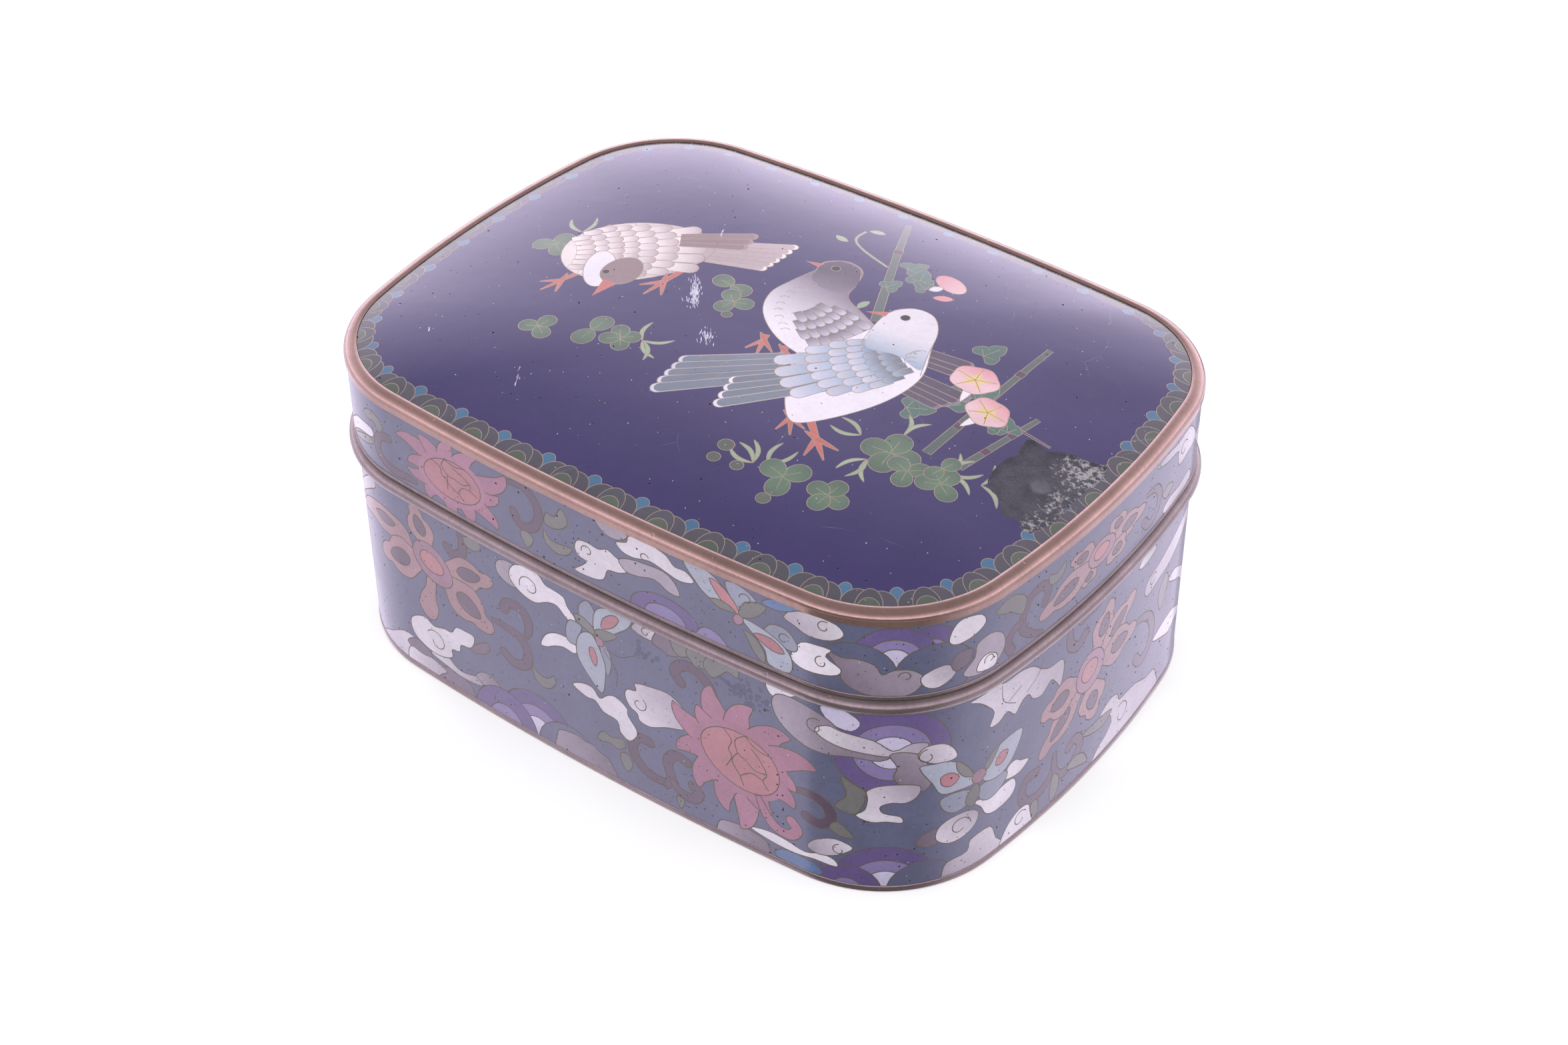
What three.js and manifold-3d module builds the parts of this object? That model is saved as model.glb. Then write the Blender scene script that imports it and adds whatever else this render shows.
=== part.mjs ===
// A cloisonne enamel box with a lift-off domed lid.
// Millimetres, +Z up. The origin is the middle of the foot's underside and +X runs along the length.
// Every wall, rim and plate follows one outline: a rounded rectangle whose four sides bow outwards.
// An offset is measured outwards from that outline, which is the enamelled side of the lid.
import * as THREE from 'three';
import { mergeVertices } from 'three/addons/utils/BufferGeometryUtils.js';
import Module from 'manifold-3d';

// The outline
const LENGTH = 150;
const WIDTH = 112.25;
const LONG_SIDE_BOW = 4.55;
const SHORT_SIDE_BOW = 7.6;
const CORNER_RADIUS = 27.4;

// Heights, from the table up
const FOOT_HEIGHT = 1.6;
const BODY_BAND_HEIGHT = 42.2;
const BEAD_HEIGHT = 3.2;
const LID_LOWER_RIM_HEIGHT = 1;
const LID_BAND_HEIGHT = 15.5;
const SHOULDER_BAND_HEIGHT = 1.4;
const SHOULDER_CROWN_HEIGHT = 1.45;
const DOME_RISE = 5;
const DOME_POWER = 3.3;

// Walls and fits
const WALL = 2;
const BASE_THICKNESS = 2;
const BODY_INSET = 0.35;
const SOLDER_GAP = 0.1;
const FOOT_PROUD = 0.15;
const FOOT_WIDTH = 4.4;
const FOOT_EDGE_RADIUS = 0.4;
const BEAD_PROUD = 1.55;
const COLLAR_THICKNESS = 0.9;
const COLLAR_ABOVE_SEAT = 4.5;
const COLLAR_BELOW_BEAD = 6;
const LID_LOWER_RIM_PROUD = 0.15;
const SHOULDER_PROUD = 0.35;
const SHOULDER_WIDTH = 2.6;
const SHOULDER_CREST_WIDTH = 0.5;
const SHOULDER_INNER_DROP = 0.25;
const SHOULDER_STEP = 0.1;
const LEDGE_THICKNESS = 0.5;
const LEDGE_WIDTH = 1.3;

// The patch near the right-hand end of the lid where the enamel is lost
const LOSS_DEPTH = 0.5;
const LOSS_LENGTH = 15;
const LOSS_WIDTH = 23;
const LOSS_EDGE_INSET = 2.4;
const LOSS_SHIFT_Y = -6;
const LOSS_LOBES = 3;
const LOSS_LOBE_SHARE = 0.09;
const LOSS_SIDES = 14;

// How finely the curves are cut into facets
const LONG_ARC_STEPS = 5;
const CORNER_STEPS = 9;
const SHORT_ARC_STEPS = 4;
const BEAD_STEPS = 6;
const CROWN_STEPS = 5;
const DOME_RINGS = [0.92, 0.78, 0.58, 0.32];

// Levels and offsets worked out from the sizes above
const bodyBandTop = FOOT_HEIGHT + BODY_BAND_HEIGHT;
const seatHeight = bodyBandTop + BEAD_HEIGHT;
const lidBandBottom = seatHeight + LID_LOWER_RIM_HEIGHT;
const lidBandTop = lidBandBottom + LID_BAND_HEIGHT;
const shoulderBandTop = lidBandTop + SHOULDER_BAND_HEIGHT;
const shoulderTop = shoulderBandTop + SHOULDER_CROWN_HEIGHT;
const ledgeHeight = lidBandTop + LEDGE_THICKNESS;
const panelEdgeHeight = ledgeHeight + WALL;
const bodyFace = -BODY_INSET;
const bodyInnerFace = bodyFace - WALL;
const collarFace = bodyInnerFace - SOLDER_GAP;
const shoulderInnerFace = SHOULDER_PROUD - SHOULDER_WIDTH;
const panelEdge = shoulderInnerFace - SOLDER_GAP;

// Radius of the arc that spans a chord of this half length with this rise.
function arcRadius(halfChord, rise) {
  return (halfChord * halfChord + rise * rise) / (2 * rise);
}

// The three arcs of the quarter between the front (-Y) and the right (+X), each tangent to the next.
function quarterArcs() {
  const longRadius = arcRadius(LENGTH / 2, LONG_SIDE_BOW);
  const shortRadius = arcRadius(WIDTH / 2, SHORT_SIDE_BOW);
  const longCentre = new THREE.Vector2(0, longRadius - WIDTH / 2);
  const shortCentre = new THREE.Vector2(LENGTH / 2 - shortRadius, 0);
  const between = shortCentre.clone().sub(longCentre);
  const span = between.length();
  const fromLong = longRadius - CORNER_RADIUS;
  const fromShort = shortRadius - CORNER_RADIUS;
  const along = (fromLong * fromLong - fromShort * fromShort + span * span) / (2 * span);
  const aside = Math.sqrt(fromLong * fromLong - along * along);
  const direction = between.divideScalar(span);
  const normal = new THREE.Vector2(direction.y, -direction.x);
  const foot = longCentre.clone().addScaledVector(direction, along);
  const sides = [1, -1].map((side) => foot.clone().addScaledVector(normal, side * aside));
  const cornerCentre = sides.find((point) => point.x > 0 && point.y < 0);
  const cornerStart = cornerCentre.clone().sub(longCentre).angle() - 2 * Math.PI;
  const cornerEnd = cornerCentre.clone().sub(shortCentre).angle() - 2 * Math.PI;
  return [
    { centre: longCentre, radius: longRadius, start: -Math.PI / 2, end: cornerStart, steps: LONG_ARC_STEPS },
    { centre: cornerCentre, radius: CORNER_RADIUS, start: cornerStart, end: cornerEnd, steps: CORNER_STEPS },
    { centre: shortCentre, radius: shortRadius, start: cornerEnd, end: 0, steps: SHORT_ARC_STEPS },
  ];
}

const QUARTER = quarterArcs();

// Points of the outline moved outwards by an offset, anticlockwise from the middle of the front.
function outlinePoints(offset) {
  const quarter = [];
  for (const arc of QUARTER) {
    for (let i = quarter.length ? 1 : 0; i <= arc.steps; i += 1) {
      const angle = THREE.MathUtils.lerp(arc.start, arc.end, i / arc.steps);
      const reach = new THREE.Vector2(Math.cos(angle), Math.sin(angle)).multiplyScalar(arc.radius + offset);
      quarter.push(reach.add(arc.centre));
    }
  }
  const mirrored = (points, x, y) => points.map((point) => new THREE.Vector2(point.x * x, point.y * y));
  const backwards = [...quarter].reverse();
  return [
    ...quarter,
    ...mirrored(backwards, 1, -1).slice(1),
    ...mirrored(quarter, -1, -1).slice(1),
    ...mirrored(backwards, -1, 1).slice(1, -1),
  ];
}

// One loop of a solid's skin: the outline at an offset, shrunk about the middle, at one height.
function loopAt(offset, height, scale = 1) {
  return outlinePoints(offset).map((point) => new THREE.Vector3(point.x * scale, point.y * scale, height));
}

function geometryFrom(positions, triangles) {
  const geometry = new THREE.BufferGeometry();
  geometry.setAttribute('position', new THREE.Float32BufferAttribute(positions, 3));
  geometry.setIndex(triangles);
  geometry.computeVertexNormals();
  return geometry;
}

// Joins loops of equal length by strips of triangles. A closed run of loops makes a ring.
function stripTriangles(loopCount, loopLength, closed) {
  const triangles = [];
  const strips = closed ? loopCount : loopCount - 1;
  for (let strip = 0; strip < strips; strip += 1) {
    const lower = strip * loopLength;
    const upper = ((strip + 1) % loopCount) * loopLength;
    for (let i = 0; i < loopLength; i += 1) {
      const next = (i + 1) % loopLength;
      triangles.push(lower + i, lower + next, upper + next);
      triangles.push(lower + i, upper + next, upper + i);
    }
  }
  return triangles;
}

// A ring swept round the outline. The profile is a list of [offset, height] that runs
// anticlockwise, so up its outer side and down its inner one.
function ringGeometry(profile) {
  const loops = profile.map(([offset, height]) => loopAt(offset, height));
  const positions = loops.flat().flatMap((point) => [point.x, point.y, point.z]);
  return geometryFrom(positions, stripTriangles(loops.length, loops[0].length, true));
}

// A solid closed by one point at each end of a run of loops, from its underside to its top.
function cappedGeometry(bottomPoint, loops, topPoint) {
  const length = loops[0].length;
  const points = [...loops.flat(), bottomPoint, topPoint];
  const bottomIndex = points.length - 2;
  const topIndex = points.length - 1;
  const lastLoop = (loops.length - 1) * length;
  const triangles = stripTriangles(loops.length, length, false);
  for (let i = 0; i < length; i += 1) {
    const next = (i + 1) % length;
    triangles.push(bottomIndex, next, i);
    triangles.push(topIndex, lastLoop + i, lastLoop + next);
  }
  return geometryFrom(points.flatMap((point) => [point.x, point.y, point.z]), triangles);
}

function rectangleProfile(outer, inner, bottom, top) {
  return [[outer, bottom], [outer, top], [inner, top], [inner, bottom]];
}

// Points on part of an ellipse, as [offset, height].
function ellipsePoints(offset, height, reach, rise, startDegrees, endDegrees, steps) {
  return Array.from({ length: steps + 1 }, (_, i) => {
    const angle = THREE.MathUtils.degToRad(THREE.MathUtils.lerp(startDegrees, endDegrees, i / steps));
    return [offset + reach * Math.cos(angle), height + rise * Math.sin(angle)];
  });
}

function footRim() {
  const outer = bodyFace + FOOT_PROUD;
  const inner = outer - FOOT_WIDTH;
  return ringGeometry([
    [outer - FOOT_EDGE_RADIUS, 0],
    [outer, FOOT_EDGE_RADIUS],
    [outer, FOOT_HEIGHT],
    [inner, FOOT_HEIGHT],
    [inner, 0],
  ]);
}

function basePlate() {
  const shape = new THREE.Shape(outlinePoints(collarFace));
  const plate = new THREE.ExtrudeGeometry(shape, { depth: BASE_THICKNESS, bevelEnabled: false });
  return plate.translate(0, 0, FOOT_HEIGHT);
}

function bodyBand() {
  return ringGeometry(rectangleProfile(bodyFace, bodyInnerFace, FOOT_HEIGHT, bodyBandTop));
}

// The half-round bead, the flat seat behind it and the upright collar that the lid slips over.
function mouthRim() {
  const beadMiddle = bodyBandTop + BEAD_HEIGHT / 2;
  const collarTop = seatHeight + COLLAR_ABOVE_SEAT;
  const collarBottom = bodyBandTop - COLLAR_BELOW_BEAD;
  const collarInnerFace = collarFace - COLLAR_THICKNESS;
  return ringGeometry([
    ...ellipsePoints(bodyFace, beadMiddle, BEAD_PROUD, BEAD_HEIGHT / 2, -90, 90, BEAD_STEPS),
    [collarFace, seatHeight],
    [collarFace, collarTop],
    [collarInnerFace, collarTop],
    [collarInnerFace, collarBottom],
    [collarFace, collarBottom],
    [collarFace, bodyBandTop],
  ]);
}

function lidLowerRim() {
  return ringGeometry(rectangleProfile(LID_LOWER_RIM_PROUD, -WALL, seatHeight, lidBandBottom));
}

function lidBand() {
  return ringGeometry(rectangleProfile(0, -WALL, lidBandBottom, lidBandTop));
}

// The moulding round the top: an upright band, a rounded crown and a ledge that carries the panel.
function shoulderRim() {
  const crownStart = SHOULDER_PROUD - SHOULDER_STEP;
  const crest = shoulderInnerFace + SHOULDER_CREST_WIDTH;
  return ringGeometry([
    [SHOULDER_PROUD, lidBandTop],
    [SHOULDER_PROUD, shoulderBandTop],
    ...ellipsePoints(crest, shoulderBandTop, crownStart - crest, SHOULDER_CROWN_HEIGHT, 0, 90, CROWN_STEPS),
    [shoulderInnerFace, shoulderTop - SHOULDER_INNER_DROP],
    [shoulderInnerFace, ledgeHeight],
    [shoulderInnerFace - LEDGE_WIDTH, ledgeHeight],
    [shoulderInnerFace - LEDGE_WIDTH, lidBandTop],
  ]);
}

// Height of the lid's top where the panel's outline is shrunk by a scale.
function domeHeight(scale) {
  return panelEdgeHeight + DOME_RISE * (1 - scale ** DOME_POWER);
}

// The pillow-shaped panel between two depths below the lid's top surface.
function domeLayer(upperDepth, lowerDepth) {
  const under = DOME_RINGS.map((scale) => loopAt(panelEdge, domeHeight(scale) - lowerDepth, scale));
  const upper = DOME_RINGS.map((scale) => loopAt(panelEdge, domeHeight(scale) - upperDepth, scale));
  const rim = [lowerDepth, upperDepth].map((depth) => loopAt(panelEdge, panelEdgeHeight - depth));
  const middles = [lowerDepth, upperDepth].map((depth) => new THREE.Vector3(0, 0, domeHeight(0) - depth));
  return cappedGeometry(middles[0], [...under.reverse(), ...rim, ...upper], middles[1]);
}

// An upright prism round the loss, with a gently lobed edge.
function lossPrism() {
  const centreX = LENGTH / 2 + panelEdge - LOSS_EDGE_INSET - LOSS_LENGTH / 2;
  const points = Array.from({ length: LOSS_SIDES }, (_, i) => {
    const angle = (2 * Math.PI * i) / LOSS_SIDES;
    const swell = 1 + LOSS_LOBE_SHARE * Math.sin(LOSS_LOBES * angle);
    const x = centreX + (LOSS_LENGTH / 2) * swell * Math.cos(angle);
    const y = LOSS_SHIFT_Y + (LOSS_WIDTH / 2) * swell * Math.sin(angle);
    return new THREE.Vector2(x, y);
  });
  const height = DOME_RISE + 2 * WALL;
  const prism = new THREE.ExtrudeGeometry(new THREE.Shape(points), { depth: height, bevelEnabled: false });
  return prism.translate(0, 0, panelEdgeHeight - WALL);
}

function toManifold(wasm, geometry) {
  const bare = geometry.clone();
  bare.deleteAttribute('normal');
  bare.deleteAttribute('uv');
  const merged = mergeVertices(bare);
  const vertProperties = new Float32Array(merged.attributes.position.array);
  const triVerts = new Uint32Array(merged.index.array);
  return new wasm.Manifold(new wasm.Mesh({ numProp: 3, vertProperties, triVerts }));
}

function fromManifold(solid) {
  const mesh = solid.getMesh();
  return geometryFrom(Array.from(mesh.vertProperties), Array.from(mesh.triVerts));
}

// The panel, with the lost enamel taken out to an even depth below its surface.
function topPanel(wasm) {
  const panel = toManifold(wasm, domeLayer(0, WALL));
  const skin = toManifold(wasm, domeLayer(-LOSS_DEPTH, LOSS_DEPTH));
  const loss = toManifold(wasm, lossPrism()).intersect(skin);
  return fromManifold(panel.subtract(loss));
}

const COPPER = { color: 0x9a7264, roughness: 0.35, metalness: 1 };
const DARK_COPPER = { color: 0x75625a, roughness: 0.45, metalness: 1 };
const VIOLET_ENAMEL = { color: 0x3a3466, roughness: 0.2, metalness: 0 };
const GREY_BLUE_ENAMEL = { color: 0x5f6c86, roughness: 0.3, metalness: 0 };
const COUNTER_ENAMEL = { color: 0x5b7891, roughness: 0.4, metalness: 0 };

function addPiece(group, name, geometry, finish) {
  const mesh = new THREE.Mesh(geometry, new THREE.MeshStandardMaterial(finish));
  mesh.name = name;
  group.add(mesh);
}

const wasm = await Module();
wasm.setup();

const body = new THREE.Group();
addPiece(body, 'body_foot_rim', footRim(), DARK_COPPER);
addPiece(body, 'body_base_plate', basePlate(), COUNTER_ENAMEL);
addPiece(body, 'body_side_band', bodyBand(), GREY_BLUE_ENAMEL);
addPiece(body, 'body_mouth_rim', mouthRim(), DARK_COPPER);

const lid = new THREE.Group();
addPiece(lid, 'lid_lower_rim', lidLowerRim(), COPPER);
addPiece(lid, 'lid_side_band', lidBand(), GREY_BLUE_ENAMEL);
addPiece(lid, 'lid_shoulder_rim', shoulderRim(), COPPER);
addPiece(lid, 'lid_top_panel', topPanel(wasm), VIOLET_ENAMEL);

const box = new THREE.Group();
box.add(body, lid);

export default box;
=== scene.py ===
"""A lidded cloisonne enamel box: cells of glaze between wires, copper rims and a pictured lid."""

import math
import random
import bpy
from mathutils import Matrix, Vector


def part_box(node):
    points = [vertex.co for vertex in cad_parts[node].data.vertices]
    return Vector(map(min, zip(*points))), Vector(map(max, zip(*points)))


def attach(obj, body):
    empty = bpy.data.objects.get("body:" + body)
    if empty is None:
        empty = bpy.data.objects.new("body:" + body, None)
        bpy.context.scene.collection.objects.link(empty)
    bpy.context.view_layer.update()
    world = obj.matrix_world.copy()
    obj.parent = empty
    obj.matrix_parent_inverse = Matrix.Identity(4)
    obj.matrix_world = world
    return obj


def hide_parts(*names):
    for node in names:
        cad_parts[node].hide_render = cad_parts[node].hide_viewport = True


bl_info = {
    "name": "Cloisonne Enamel Box",
    "version": (1, 0, 0),
    "blender": (4, 5, 0),
    "location": "View3D > Sidebar > Enamel Box",
    "description": "Builds a cloisonne box with enamel cells between wires, copper rims and a pictured lid",
    "category": "Object",
}

import bpy
import numpy as np
from bpy.props import FloatProperty, FloatVectorProperty, IntProperty, PointerProperty
from mathutils import Matrix, Vector, geometry, noise

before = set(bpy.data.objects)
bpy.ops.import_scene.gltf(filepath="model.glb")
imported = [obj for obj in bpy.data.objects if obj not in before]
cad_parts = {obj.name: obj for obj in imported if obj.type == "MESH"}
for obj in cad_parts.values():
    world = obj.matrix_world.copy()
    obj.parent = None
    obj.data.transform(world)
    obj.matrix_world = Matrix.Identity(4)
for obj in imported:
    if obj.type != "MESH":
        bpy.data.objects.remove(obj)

MM = 0.001
BODY = "root"
WIRE = "wire"
LOSS = "filler"
BAKE_MAP = "OFBake"


# Settings that a user may change

def length(name, description, millimetres):
    return FloatProperty(name=name, description=description, default=millimetres * MM, min=0, unit="LENGTH")


def glaze(name, description, red, green, blue):
    shown = (red / 255, green / 255, blue / 255)
    return FloatVectorProperty(name=name, description=description, default=shown, min=0, max=1,
                               subtype="COLOR_GAMMA")


class BoxSizes(bpy.types.PropertyGroup):
    long_bow: length("Long side bow", "How far the middle of a long side stands out", 4.55)
    short_bow: length("Short side bow", "How far the middle of a short side stands out", 7.6)
    corner: length("Corner radius", "Radius of the box's upright corners", 27.4)
    wall: length("Wall", "Thickness of the enamelled sheet", 2)
    dome_power: FloatProperty(name="Dome power", description="How late the lid's dome turns down",
                              default=3.3)
    side_wire: length("Side wire", "Width of the wires on the sides", 0.22)
    lid_wire: length("Lid wire", "Width of the wires on the lid", 0.15)
    scallop: length("Scallop pitch", "Distance between the scallops round the lid's picture", 10.7)
    loss_depth: length("Loss depth", "How deep the lost patch of enamel lies", 0.35)
    unevenness: length("Unevenness", "How far the hand-soldered rims stray", 0.05)
    seed: IntProperty(name="Seed", description="Picks the small accidents of the enamel", default=7)


class BoxColours(bpy.types.PropertyGroup):
    side_field: glaze("Side ground", "Grey-blue ground of the sides", 87, 88, 114)
    lid_field: glaze("Lid ground", "Violet-blue ground of the lid", 60, 52, 100)
    lotus: glaze("Lotus", "Rose petals of the lotus flowers", 146, 100, 122)
    salmon: glaze("Salmon", "Hearts of the lotus flowers", 158, 105, 115)
    peach: glaze("Peach", "Petals of the scrolling flowers", 146, 114, 121)
    plum: glaze("Plum", "Inner cells of the petals", 92, 76, 92)
    rose: glaze("Rose", "Discs of the scrolling flowers", 138, 104, 123)
    heart: glaze("Flower heart", "Hearts of the scrolling flowers", 158, 108, 114)
    tendril: glaze("Tendril", "Scrolling tendrils", 88, 72, 90)
    olive: glaze("Olive", "Leaves of the sides", 106, 104, 104)
    white: glaze("Cloud white", "White clouds", 198, 189, 202)
    cloud_mauve: glaze("Cloud mauve", "Mauve clouds", 146, 134, 150)
    cloud_plum: glaze("Cloud plum", "Dark mauve clouds", 104, 90, 106)
    purple: glaze("Purple", "Outer bands of the wave crests", 92, 78, 122)
    lilac: glaze("Lilac", "Inner bands of the wave crests", 120, 108, 150)
    pale_lilac: glaze("Pale lilac", "Hearts of the wave crests", 180, 172, 198)
    pale_blue: glaze("Pale blue", "Butterflies' wings", 148, 150, 168)
    dull_blue: glaze("Dull blue", "Butterflies' hind wings", 126, 128, 148)
    chip: glaze("Chip", "Blue stopping in a chipped place", 86, 108, 148)
    stain: glaze("Stain", "Darker pitted spots in the side ground", 66, 70, 96)
    slate: glaze("Slate", "Grey dove's darkest feathers", 92, 80, 98)
    mauve: glaze("Mauve", "Grey dove's wing", 134, 120, 138)
    feather_white: glaze("Feather white", "White breasts and trumpets", 234, 224, 238)
    feather_pale: glaze("Feather pale", "Pale feather edges", 212, 205, 224)
    steel: glaze("Steel", "Blue dove's long feathers", 120, 126, 142)
    feather_blue: glaze("Feather blue", "Blue dove's wing", 168, 180, 206)
    brown: glaze("Brown", "Fawn dove's head", 142, 118, 122)
    fawn: glaze("Fawn", "Fawn dove's wing", 184, 164, 172)
    cream: glaze("Cream", "Fawn dove's body", 236, 221, 225)
    tan: glaze("Tan", "Fawn dove's feather edges", 160, 138, 142)
    coral: glaze("Coral", "Beaks and feet", 196, 108, 100)
    night: glaze("Night", "Eyes", 34, 28, 44)
    leaf: glaze("Leaf", "Clover leaves", 104, 128, 104)
    leaf_dark: glaze("Leaf shade", "Shaded side of the clover", 92, 108, 98)
    leaf_grey: glaze("Leaf grey", "Small grey leaves", 98, 104, 98)
    ivy: glaze("Ivy", "Lobed leaves", 88, 116, 108)
    grass: glaze("Grass", "Grass blades and the fine tendril", 158, 176, 150)
    cane: glaze("Cane", "Canes", 92, 102, 100)
    cane_joint: glaze("Cane joint", "Joints of the canes and the brown stem", 94, 72, 92)
    petal: glaze("Petal", "Trumpet flowers", 226, 188, 198)
    blush: glaze("Blush", "Edges of the trumpet flowers", 220, 146, 156)
    star: glaze("Star", "Stars in the trumpet flowers", 232, 200, 130)
    turquoise: glaze("Turquoise", "Half rounds between the scallops", 76, 112, 146)
    scallop: glaze("Scallop", "Grey scallops of the lid's border", 84, 82, 92)
    scallop_olive: glaze("Scallop olive", "Hearts of the scallops", 90, 98, 88)
    scuff: glaze("Scuff", "Scraped glaze", 206, 200, 224)
    filler: glaze("Filler", "Dark rough stuff where the enamel is lost", 70, 66, 82)
    wire: glaze("Wire", "Ends of the wires, under their own metal", 120, 110, 96)
    counter: glaze("Counter-enamel", "Plain glaze inside and under the box", 104, 144, 162)
    copper: glaze("Copper", "Rubbed copper of the lid's rims", 150, 122, 112)
    # Brown copper also colours the lid's lower edge, where it is painted shade for the gap between the lid
    # and the bead.
    brown_copper: glaze("Brown copper", "Tarnished copper of the bead and the foot", 124, 110, 110)


def sizes():
    return bpy.context.scene.enamel_box_sizes


def colours():
    return bpy.context.scene.enamel_box_colours


def linear(colour):
    """A colour as it is shown, as the amounts of light that shaders use."""
    shown = np.asarray(colour, float)
    return np.where(shown > 0.04045, ((shown + 0.055) / 1.055) ** 2.4, shown / 12.92)


# The outline that every piece follows, in mm

def node_box(node):
    """A node's lowest and highest corners in mm."""
    low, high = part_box(node)
    return np.array(low) / MM, np.array(high) / MM


class Outline:
    """A rectangle with bowed sides and round corners, anticlockwise from the middle of its -Y side."""

    def __init__(self):
        low, high = node_box("lid_side_band")
        long, wide = (high - low)[:2]
        long_bow, short_bow, corner = (sizes().long_bow / MM, sizes().short_bow / MM, sizes().corner / MM)
        long_radius = ((long / 2) ** 2 + long_bow**2) / (2 * long_bow)
        short_radius = ((wide / 2) ** 2 + short_bow**2) / (2 * short_bow)
        front = np.array([0, long_radius - wide / 2])
        right = np.array([long / 2 - short_radius, 0])
        # The corner's arc touches both sides' arcs, so its centre is where two circles cross.
        between = right - front
        span = np.linalg.norm(between)
        from_front, from_right = long_radius - corner, short_radius - corner
        along = (from_front**2 - from_right**2 + span**2) / (2 * span)
        aside = math.sqrt(from_front**2 - along**2)
        middle = front + between * along / span + np.array([-between[1], between[0]]) * aside / span
        start = math.atan2(*(middle - front)[::-1])
        end = math.atan2(*(middle - right)[::-1])
        self.arcs = []
        for sign, turn in ((1, 0), (-1, math.pi)):
            self.add(front * sign, long_radius, -math.pi / 2 + turn, start + turn)
            self.add(middle * sign, corner, start + turn, end + turn)
            self.add(right * sign, short_radius, end + turn, -end + turn)
            self.add(middle * [sign, -sign], corner, -end + turn, -start + turn)
            self.add(front * [1, -sign], long_radius, -start + turn, math.pi / 2 + turn)
        self.starts = np.cumsum([0, *[radius * (end - start) for _, radius, start, end in self.arcs]])
        self.around = self.starts[-1]

    def add(self, centre, radius, start, end):
        self.arcs.append((centre, radius, start, end))

    def at(self, distance, offset=0.0):
        """The points at these distances round the outline, moved outwards, and their outward directions."""
        distance = np.asarray(distance, float) % self.around
        index = np.clip(np.searchsorted(self.starts, distance, "right") - 1, 0, len(self.arcs) - 1)
        centre = np.array([arc[0] for arc in self.arcs])[index]
        radius = np.array([arc[1] for arc in self.arcs])[index]
        angle = np.array([arc[2] for arc in self.arcs])[index] + (distance - self.starts[index]) / radius
        outward = np.stack([np.cos(angle), np.sin(angle)], axis=-1)
        return centre + outward * (radius[..., None] + np.reshape(offset, np.shape(offset) + (1,))), outward

    def places(self, across, up, offset):
        """Points in space on a wall that stands on the outline, and the wall's outward directions."""
        flat, outward = self.at(across, offset)
        return (np.concatenate([flat, np.reshape(up, (-1, 1))], axis=1),
                np.concatenate([outward, np.zeros((len(flat), 1))], axis=1))

    def share(self, points, offset):
        """How far each point is from the middle towards the moved outline, from 0 to 1."""
        edge, _ = self.at(np.linspace(0, self.around, 2400, endpoint=False), offset)
        angles = np.arctan2(edge[:, 1], edge[:, 0])
        order = np.argsort(angles)
        reach = np.interp(np.arctan2(points[:, 1], points[:, 0]), angles[order],
                          np.linalg.norm(edge, axis=1)[order], period=2 * math.pi)
        return np.linalg.norm(points, axis=1) / reach


def offset_of(node):
    """How far a node's outer face stands outside the outline."""
    outline = Outline()
    high = node_box(node)[1]
    return high[0] - outline.at(outline.around / 4)[0][0]


# Flat drawing in mm

def smooth(points, closed=True, steps=5):
    """A smooth line through the points."""
    knots = np.asarray(points, float)
    count = len(knots)
    line = []
    for i in range(count if closed else count - 1):
        near = [i - 1, i, i + 1, i + 2]
        near = [k % count if closed else min(max(k, 0), count - 1) for k in near]
        a, b, c, d = knots[near]
        for t in np.arange(steps) / steps:
            bend = (2 * a - 5 * b + 4 * c - d) * t**2 + (3 * b - a - 3 * c + d) * t**3
            line.append(0.5 * (2 * b + (c - a) * t + bend))
    if not closed:
        line.append(knots[-1])
    return np.array(line)


def placed(points, x, y, turn=0.0, wide=1.0, high=1.0):
    """The points made wider and higher, turned by degrees and moved."""
    points = np.asarray(points, float) * [wide, high]
    c, s = math.cos(math.radians(turn)), math.sin(math.radians(turn))
    return points @ np.array([[c, s], [-s, c]]) + [x, y]


def arc(x, y, radius, start, end, steps=12):
    """Points on part of a circle, by degrees."""
    angles = np.radians(np.linspace(start, end, steps))
    return np.column_stack([x + radius * np.cos(angles), y + radius * np.sin(angles)])


def oval(x, y, long, wide, turn=0, taper=0.0, steps=28):
    """An oval about a point. A taper makes it an egg whose small end is where it is turned to."""
    angles = np.linspace(0, 2 * math.pi, steps, endpoint=False)
    shape = np.column_stack([long * np.cos(angles), wide * np.sin(angles) * (1 - taper * np.cos(angles))])
    return placed(shape, x, y, turn)


def spiral(radius, start, sweep, shrink=0.6, steps=24):
    """A line that winds in about the middle, by degrees."""
    share = np.linspace(0, 1, steps)
    angles = np.radians(start + sweep * share)
    reach = radius * (1 - shrink * share)
    return np.column_stack([reach * np.cos(angles), reach * np.sin(angles)])


def rightwards(line, closed):
    """The direction to the right of a line at each of its points."""
    if closed:
        ahead, behind = np.roll(line, -1, axis=0), np.roll(line, 1, axis=0)
    else:
        ahead, behind = np.vstack([line[1:], line[-1:]]), np.vstack([line[:1], line[:-1]])
    along = ahead - behind
    along /= np.maximum(np.linalg.norm(along, axis=1, keepdims=True), 1e-9)
    return np.column_stack([along[:, 1], -along[:, 0]])


def stroke(line, width):
    """The outline of a stroke along an open line. The width may change from point to point."""
    line = np.asarray(line, float)
    reach = rightwards(line, False) * np.reshape(np.broadcast_to(width, len(line)), (-1, 1)) / 2
    return np.vstack([line + reach, (line - reach)[::-1]])


def anticlockwise(outline):
    outline = np.asarray(outline, float)
    x, y = outline.T
    return outline if np.dot(x, np.roll(y, -1)) > np.dot(y, np.roll(x, -1)) else outline[::-1]


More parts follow.
